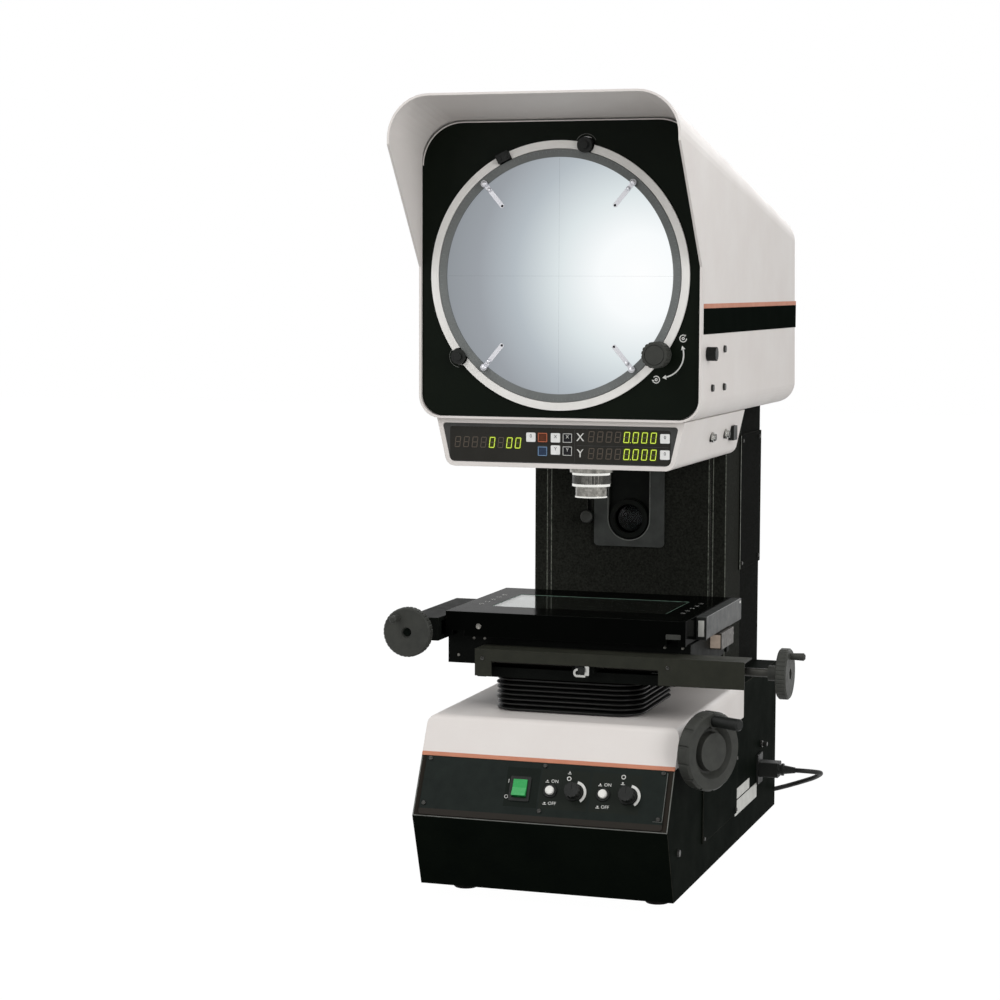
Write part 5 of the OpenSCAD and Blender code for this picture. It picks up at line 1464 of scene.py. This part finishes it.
@dataclass
class HeadUnit:
    """Head shell with its stripes, screen and drive marks."""

    side: float = 0.191
    stripe_y: Spot = (-0.248, 0.352)
    orange_z: Spot = (0.7793, 0.7852)
    black_z: Spot = (0.7460, 0.7793)
    film: float = 0.0004
    ink: float = 0.0002
    front: float = -0.254
    front_edge: Point = (0.1874, 1.0202, 0.0560)
    edge_wide: float = 0.0015
    knob: Spot = (0.1372, 0.7203)
    knob_floor: float = -0.2885
    knob_cap: Spot = (0.0128, 0.0124)
    cap_rise: float = 0.0014
    arrow_radius: float = 0.0297
    arrow_band: float = 0.0018
    arrow_sweep: tuple[int, int] = (-78, 92)
    arrow_tips: tuple[tuple[int, int], ...] = ((16, 106), (-80, -170))
    arrow_sizes: Spot = (0.0034, 0.0019)
    turn_signs: tuple[tuple[Spot, int, int], ...] = (
        ((0.166, 0.741), 60, 140), ((0.131, 0.688), 200, 20))
    sign_radii: Spot = (0.0044, 0.0014)
    sign_band: float = 0.0011
    sign_sweep: int = 300
    glow_spot: Point = (0.110, -0.254, 0.820)
    glow_reach: float = 0.275
    screen: Spot = (0, 0.820)
    glass_radius: float = 0.152
    hair: float = 0.00028
    band_front: float = -0.2575
    band_radius: float = 0.1615
    tick_long: Spot = (0.0042, 0.0024)
    tick_wide: float = 0.00035
    tick_thick: float = 0.0001
    clip_angles: tuple[int, ...] = (50, 130, 230, 310)
    clip_radius: float = 0.1555
    clip_tip: float = 0.0375
    clip_front: float = -0.2606
    clip_heads: tuple[Spot, ...] = ((0, 0.0042), (0.010, 0.0029))
    tip_form: Spot = (0.0017, 0.0006)
    tip_back: float = 0.0016
    roller_rim: Point = (0.0142, 0.0007, 0.0003)
    roller_highlights: tuple[tuple[Spot, int, int], ...] = (
        ((0.0357, 0.9878), 25, 140), ((-0.1352, 0.7144), 95, 170))

    def build(self) -> None:
        """Dress the head and add its trim and marks."""
        dress(PALE_PAINT, "head_shell")
        dress(GLOSS_BLACK, "head_front_panel")
        dress(BEZEL_SILVER, "screen_bezel")
        dress(BLACK_PLASTIC, "screen_guides", "guide_roller_1", "guide_roller_2",
              "rotation_clamp_knob")
        dress(BAND_GREY, "screen_frame")
        dress(CLIP_SILVER, *(f"chart_clip_{index}" for index in range(1, 5)))
        dress(KNOB_GREY, "screen_drive_knob")
        lit = SHOP.lit_screen("ground_screen", self.glow_spot, self.glow_reach)
        dress_with(lit, "ground_glass")
        self._stripes()
        self._drive_marks()
        self._screen_marks()
        self._clip_heads()
        self._drive_cap()
        self._edge_line()

    def _clip_heads(self) -> None:
        """Add the round heads and the dark tips of the chart clips."""
        for index, angle in enumerate(self.clip_angles, 1):
            heads, tip = Piece(), Piece(face_frame(self.clip_front + self.tip_back))
            for inward, radius in self.clip_heads:
                x, z = around(self.screen, self.clip_radius - inward, angle)
                bmesh.ops.create_uvsphere(heads.form, u_segments=18, v_segments=12, radius=radius,
                                          matrix=Matrix.Translation((x, self.clip_front, z)))
            tip.head(around(self.screen, self.clip_radius - self.clip_tip, angle), *self.tip_form)
            heads.settle(f"clip_heads_{index}", CLIP_SILVER, "shaft_steel", f"clip_{index}")
            tip.settle(f"clip_tip_{index}", KEY_DARK, "plastic_black", f"clip_{index}")

    def _drive_cap(self) -> None:
        """Add the flat cap of the drive knob and the painted highlight arcs round the rollers."""
        cap = Piece(face_frame(self.knob_floor))
        cap.cone(self.knob, self.knob_cap, self.cap_rise, 40)
        cap.settle("drive_knob_cap", KNOB_GREY, "knob_grey", "turn_knob")
        # Pale arcs on one side of each roller: painted highlights.
        rims = Piece(face_frame(self.front))
        for spot, start, sweep in self.roller_highlights:
            rims.arc(spot, *self.roller_rim, start, sweep)
        rims.settle("roller_highlights", EDGE_HIGHLIGHT, "front_black")

    def _edge_line(self) -> None:
        """Add the pale lip along the top of the black front."""
        lip = Piece(face_frame(self.front))
        half, high, corner = self.front_edge
        wide = self.edge_wide
        lip.slab((0, high - wide / 2), (2 * (half - corner), wide), self.film)
        for sign, start in ((1, 0), (-1, 90)):
            lip.arc((sign * (half - corner), high - corner), corner - wide / 2, wide, self.film,
                    start, 90)
        lip.settle("front_edge_line", PALE_PAINT, "head_pale")

    def _stripes(self) -> None:
        """Add the two bands along each side."""
        middle = sum(self.stripe_y) / 2
        length = self.stripe_y[1] - self.stripe_y[0]
        bands = (("orange", self.orange_z, ACCENT), ("black", self.black_z, STRIPE_BLACK))
        for word, sign in (("right", 1), ("left", -1)):
            for label, (low, high), finish in bands:
                plates(f"head_stripe_{label}_{word}", side_frame(sign * self.side, sign),
                       [((sign * middle, (low + high) / 2), (length, high - low), self.film)],
                       finish, "head_pale")

    def _drive_marks(self) -> None:
        """Add the turning arrows round the screen's drive knob."""
        marks = Piece(face_frame(self.front))
        large, small = self.arrow_sizes
        outer, inner = self.sign_radii
        marks.arc(self.knob, self.arrow_radius, self.arrow_band, self.ink, *self.arrow_sweep)
        for angle, heading in self.arrow_tips:
            marks.arrow(around(self.knob, self.arrow_radius, angle), heading, large, self.ink)
        for spot, start, heading in self.turn_signs:
            marks.arc(spot, outer, self.sign_band, self.ink, start, self.sign_sweep)
            marks.arc(spot, inner, self.sign_band, self.ink)
            marks.arrow(around(spot, outer, start), heading, small, self.ink)
        marks.settle("drive_marks", MARK_WHITE, "front_black")

    def _screen_marks(self) -> None:
        """Add the cross lines and the degree ticks that turn with the screen."""
        reach, hair = 2 * self.glass_radius, self.hair
        plates("screen_cross_lines", face_frame(self.front),
               [(self.screen, size, self.tick_thick) for size in ((reach, hair), (hair, reach))],
               LINE_GREY, "screen_glass", "screen")
        ticks = Piece()
        middle = face_frame(self.band_front) @ Matrix.Translation((*self.screen, 0))
        for degree in range(0, 360, 2):
            long = self.tick_long[0 if degree % 10 == 0 else 1]
            ticks.on(middle @ turned(degree)).slab(
                (self.band_radius - long / 2, 0), (long, self.tick_wide), self.tick_thick)
        ticks.settle("screen_degree_ticks", TICK_GREY, "band_grey", "screen")


@dataclass
class CounterUnit:
    """Digital counter under the head."""

    front: float = -0.2504
    key_front: float = -0.2510
    window: tuple[float, float, float, float] = (-0.1500, 0.1500, 0.5775, 0.6225)
    window_corner: float = 0.003
    ink: float = 0.0001
    digit_lift: float = 1.6
    digit_pitch: float = 0.0119
    digit_wide: float = 0.0066
    digit_tall: float = 0.0132
    digit_glow_halo: Spot = (0.0096, 0.0165)
    halo_corner: float = 0.001
    dot_back: float = 0.0001
    stroke_gap: float = 0.3
    stroke: float = 0.0011
    lean: float = 0.12
    strokes: tuple[tuple[float, float, bool], ...] = (
        (0, 1, False), (0, 0, False), (0, -1, False),
        (-1, 0.5, True), (1, 0.5, True), (-1, -0.5, True), (1, -0.5, True),
    )
    middle_stroke: int = 1
    rows: tuple[tuple[float, float, str], ...] = (
        (-0.145, 0.602, "----0-00"), (0.038, 0.6125, "----0.000"), (0.038, 0.5905, "----0.000"))
    key_size: Spot = (0.0128, 0.0122)
    key_corner: float = 0.0014
    sign_up: float = 0.0014
    sign_tall: float = 0.0062
    rim_inset: float = 0.0012
    rim_wide: float = 0.0007
    keys: tuple[tuple[str, Finish, Finish | None, tuple[tuple[float, float, str], ...]], ...] = (
        ("white", KEY_WHITE, None, (
            (-0.038, 0.610, "0"), (-0.0044, 0.610, "X"), (-0.0044, 0.594, "Y"),
            (0.1426, 0.612, "0"), (0.1426, 0.591, "0"))),
        ("brown", KEY_BROWN, KEY_ORANGE_LINE, ((-0.022, 0.610, ""),)),
        ("blue", KEY_BLUE, KEY_BLUE_LINE, ((-0.022, 0.592, ""),)),
        ("dark", KEY_DARK, MARK_WHITE, ((0.0118, 0.610, "X"), (0.0118, 0.593, "Y"))),
    )
    letter_tall: float = 0.0150
    letters: tuple[tuple[str, Spot], ...] = (("X", (0.029, 0.611)), ("Y", (0.029, 0.590)))
    dividers: tuple[tuple[Spot, Spot], ...] = (
        ((0.086, 0.6005), (0.122, 0.0005)), ((0.0215, 0.600), (0.0005, 0.042)))
    socket_y: Spot = (-0.073, 0.010)
    socket_z: float = 0.604
    socket_rings: tuple[tuple[float, float, float, float], ...] = (
        (0.1632, 0.0067, 0.0005, 0.0025),
        (0.16556, 0.0055, 0.0019, 0.0003),
        (0.16556, 0.0048, 0.0005, 0.0031),
    )

    def build(self) -> None:
        """Dress the counter and draw its face."""
        dress(PALE_PAINT, "counter_housing")
        dress(COUNTER_DARK, "counter_window")
        left, right, low, high = self.window
        plates("counter_display_window", face_frame(self.front), [
            (((left + right) / 2, (low + high) / 2), (right - left, high - low), self.ink,
             self.window_corner),
        ], WINDOW_BLACK, "panel_dark")
        self._digits()
        self._keys()
        self._letters()
        self._socket_rings()

    def _digits(self) -> None:
        """Add lit and unlit seven-stroke digits, with a painted glow behind each lit digit."""
        lit, unlit, halos = Piece(), Piece(), Piece(face_frame(self.front - self.ink / 2))
        lean = Matrix.Identity(4)
        lean[0][1] = self.lean
        seat = face_frame(self.front - self.digit_lift * self.ink)
        half_wide, half_tall = self.digit_wide / 2, self.digit_tall / 2
        gap = self.stroke * self.stroke_gap
        for start, middle, text in self.rows:
            spot = start + self.digit_pitch / 2
            for mark in text:
                here = seat @ Matrix.Translation((spot, middle, 0)) @ lean
                if mark == ".":
                    back = -self.digit_pitch / 2 - self.dot_back
                    lit.on(here).slab((back, -half_tall), (self.stroke, self.stroke), self.ink)
                    continue
                # A lit digit gets the painted glow behind it.
                if mark == "0":
                    halos.slab((spot, middle), self.digit_glow_halo, self.ink, self.halo_corner)
                for index, (across, up, upright) in enumerate(self.strokes):
                    on = mark == "0" and index != self.middle_stroke
                    long = (half_tall if upright else self.digit_wide) - gap
                    size = (self.stroke, long) if upright else (long, self.stroke)
                    (lit if on else unlit).on(here).slab(
                        (across * half_wide, up * half_tall), size, self.ink)
                spot += self.digit_pitch
        halos.settle("counter_digit_halos", DIGIT_GLOW_HALO, "panel_dark")
        lit.settle("counter_digits_lit", DIGIT_LIT, "panel_dark")
        unlit.settle("counter_digits_unlit", DIGIT_OFF, "panel_dark")

    def _keys(self) -> None:
        """Add the coloured key caps with their rims and signs."""
        top = face_frame(self.key_front - self.ink)
        dark, pale = Piece(top), Piece(top)
        for colour, finish, rim_finish, spots in self.keys:
            caps = Piece(face_frame(self.key_front))
            signs = pale if colour == "dark" else dark
            for x, z, sign in spots:
                caps.slab((x, z), self.key_size, self.ink, self.key_corner)
                if sign:
                    signs.letters(sign, (x, z + self.sign_up), self.sign_tall, self.ink)
            caps.settle(f"counter_keys_{colour}", finish, "button_white")
            if rim_finish:
                plates(f"counter_key_rims_{colour}", top,
                       [row for x, z, _ in spots for row in self._rim((x, z))],
                       rim_finish, "button_white")
        dark.settle("counter_key_signs_dark", KEY_DARK, "panel_dark")
        pale.settle("counter_key_signs_pale", MARK_WHITE, "button_white")

    def _rim(self, spot: Spot) -> list[tuple[Spot, Spot, float]]:
        """Give the thin outline near a key's edge.

        Args:
            spot: The key's middle.

        Returns:
            Middle, size and thickness of its four lines.
        """
        wide, tall = (part - self.rim_inset for part in self.key_size)
        rows = []
        for sign in (-1, 1):
            rows.append(((spot[0], spot[1] + sign * tall / 2), (wide, self.rim_wide), self.ink))
            rows.append(((spot[0] + sign * wide / 2, spot[1]), (self.rim_wide, tall), self.ink))
        return rows

    def _letters(self) -> None:
        """Add the axis letters and the thin dividing lines."""
        seat = face_frame(self.front - self.ink)
        axes = Piece(seat)
        for word, spot in self.letters:
            axes.letters(word, spot, self.letter_tall, self.ink)
        axes.settle("counter_axis_letters", MARK_WHITE, "button_white")
        plates("counter_dividers", seat, [(*row, self.ink) for row in self.dividers],
               COUNTER_DARK, "panel_dark")

    def _socket_rings(self) -> None:
        """Add the bright flanges of the sockets on the right side."""
        rings = Piece()
        for y in self.socket_y:
            for face, radius, width, thick in self.socket_rings:
                rings.on(side_frame(face)).arc((y, self.socket_z), radius, width, thick)
        rings.settle("counter_socket_rings", BRIGHT_STEEL, "screw_steel")


@dataclass
class StageUnit:
    """Cross-travel stage with its lift and wheels."""

    table_front: float = -0.2225
    carriage_front: float = -0.2040
    carriage_screws: tuple[Spot, ...] = (
        (-0.1313, 0.3342), (-0.1162, 0.3342), (0.1333, 0.3342), (0.1575, 0.3342), (-0.1532, 0.3104))
    rail_front: float = -0.2500
    rail_screws: tuple[Spot, ...] = ((-0.1044, 0.3147), (0.1485, 0.3148))
    table_screw: Spot = (-0.119, 0.3528)
    lever_front: float = -0.2443
    table_top: float = 0.372
    glass_top: float = 0.3716
    glass_middle: float = -0.089
    glass_size: Spot = (0.245, 0.133)
    glass_line: float = 0.0013
    film: float = 0.0002
    hole_x: float = 0.142
    hole_y: tuple[float, ...] = (-0.141, -0.115, -0.089, -0.063, -0.037)
    scale_face: Spot = (-0.163, 0.1795)
    scale_cap: float = 0.0016
    scale_middle: Spot = (-0.007, 0.3557)
    hole_rim: Spot = (0.0030, 0.0009)
    screw_rise: float = 0.0010
    bracket: tuple[tuple[Spot, Spot, float, float], ...] = (
        ((0.149, 0.3512), (0.020, 0.0066), 0.0012, 0.001),
        ((0.1402, 0.3512), (0.0016, 0.0066), 0.0018, 0.0004),
    )
    hook_slabs: tuple[tuple[Spot, Spot, float, float], ...] = (
        ((0.0390, 0.3045), (0.0060, 0.0128), 0.0030, 0.0010),
        ((0.0305, 0.2972), (0.0130, 0.0030), 0.0026, 0.0008),
    )
    hook_arc: tuple[Spot, float, float, float, int, int] = (
        (0.0262, 0.3012), 0.0044, 0.0030, 0.0024, 80, 180)
    reader_plate: tuple[Spot, Spot, float, float] = (
        (0.1752, 0.3285), (0.0140, 0.0180), 0.0004, 0.0008)
    eye_form: Spot = (0.0056, 0.0006)
    reader_front: float = -0.092
    wheel_face: float = -0.2870
    y_wheel: Spot = (-0.197, 0.350)

    def build(self) -> None:
        """Dress the stage, its lift and its handwheels, and add its fittings."""
        dress(CAST_DARK, "stage_saddle", "x_carriage")
        dress(RAIL_OLIVE, "x_rail_cover")
        dress(SHAFT_STEEL, "lift_column", "focus_pinion")
        dress(FEED_DARK, "x_feed_screw", "y_feed_screw")
        dress(KNOB_GREY, "x_handwheel", "y_handwheel", "focus_handwheel")
        dress(BLACK_PLASTIC, "focus_grip", "x_release_lever")
        dress(READER_BRONZE, "y_reader")
        dress(TABLE_BLACK, "stage_table")
        dress_with(SHOP.glass(*STAGE_GLASS), "stage_glass")
        dress(SCALE_GREY, "y_scale")
        self._screws()
        self._table()
        self._scale_cap()
        self._lever()
        plates("reader_end_plate", face_frame(self.reader_front), [self.reader_plate],
               READER_PALE, "reader_black", "x_slide")
        # A matte black disc on the Y handwheel's face stands for the shade in its hole: painted
        # shade.
        eye = Piece(face_frame(self.wheel_face))
        eye.head(self.y_wheel, *self.eye_form)
        eye.settle("y_wheel_hole_shade", STRIPE_BLACK, "knob_grey", "y_drive")

    def _screws(self) -> None:
        """Add the screw heads on the table, the carriage and the rail, and the front bracket."""
        for name, depth, spots, radius, finish, body in (
            ("table_front_screw", self.table_front, (self.table_screw,), 0.0040, SCREW_STEEL,
             "y_table"),
            ("carriage_screws", self.carriage_front, self.carriage_screws, 0.0021, SCREW_STEEL,
             "x_slide"),
            ("rail_screws", self.rail_front, self.rail_screws, 0.0026, SCREW_DARK, "lift"),
        ):
            screws = Piece(face_frame(depth))
            for spot in spots:
                screws.head(spot, radius, self.screw_rise)
            screws.settle(name, finish, "screw_steel", body)
        plates("table_front_bracket", face_frame(self.table_front), self.bracket, KNOB_GREY,
               "table_metal", "y_table")

    def _table(self) -> None:
        """Add the pale green edge of the stage glass, partly its own tint and partly painted
        highlight, and bright rings round the fixture holes as painted glints.
        """
        edge = Piece(top_frame(self.glass_top))
        wide, deep = self.glass_size
        line, middle = self.glass_line, self.glass_middle
        for sign in (-1, 1):
            edge.slab((0, middle + sign * (deep - line) / 2), (wide, line), self.film)
            edge.slab((sign * (wide - line) / 2, middle), (line, deep - 2 * line), self.film)
        edge.settle("stage_glass_highlight", GLASS_EDGE_HIGHLIGHT, "optic_glass", "y_table")
        # Bright steel rings round the fixture holes: painted glints on their chamfers.
        rims = Piece(top_frame(self.table_top))
        for x in (-self.hole_x, self.hole_x):
            for y in self.hole_y:
                rims.arc((x, y), *self.hole_rim, self.film)
        rims.settle("table_hole_glints", BRIGHT_STEEL, "table_metal", "y_table")

    def _scale_cap(self) -> None:
        """Add the scale's end cap with its bright insert, and the mark on its side."""
        depth, side = self.scale_face
        middle = (side + self.scale_middle[0], self.scale_middle[1])
        for name, seat, row, finish, slot in (
            ("scale_end_cap", face_frame(depth), (middle, (0.0132, 0.0290), self.scale_cap, 0.0010),
             BLACK_PLASTIC, "reader_black"),
            ("scale_end_insert", face_frame(depth - self.scale_cap),
             (middle, (0.0080, 0.0215), 0.0004, 0.0008), PLATE_BARE, "plate_grey"),
            ("scale_side_mark", side_frame(side), ((0.0405, 0.3665), (0.008, 0.0034), self.film),
             MARK_WHITE, "plate_grey"),
        ):
            plates(name, seat, [row], finish, slot, "y_table")

    def _lever(self) -> None:
        """Add the bright hook and block on the release lever's face."""
        hook = Piece(face_frame(self.lever_front))
        for row in self.hook_slabs:
            hook.slab(*row)
        hook.arc(*self.hook_arc)
        hook.settle("release_lever_hook", BRIGHT_STEEL, "screw_steel", "x_release")


def main() -> None:
    """Build every unit in order and log that each is in place."""
    logging.basicConfig(level=logging.INFO, format="%(name)s: %(message)s")
    bpy.context.scene.view_settings.view_transform = "Standard"
    for unit in (Studio(), MainsLead(), BaseUnit(), Bellows(), ColumnUnit(), HeadUnit(),
                 CounterUnit(), StageUnit()):
        unit.build()
        LOG.info("%s is in place", type(unit).__name__)


if __name__ == "__main__":
    main()
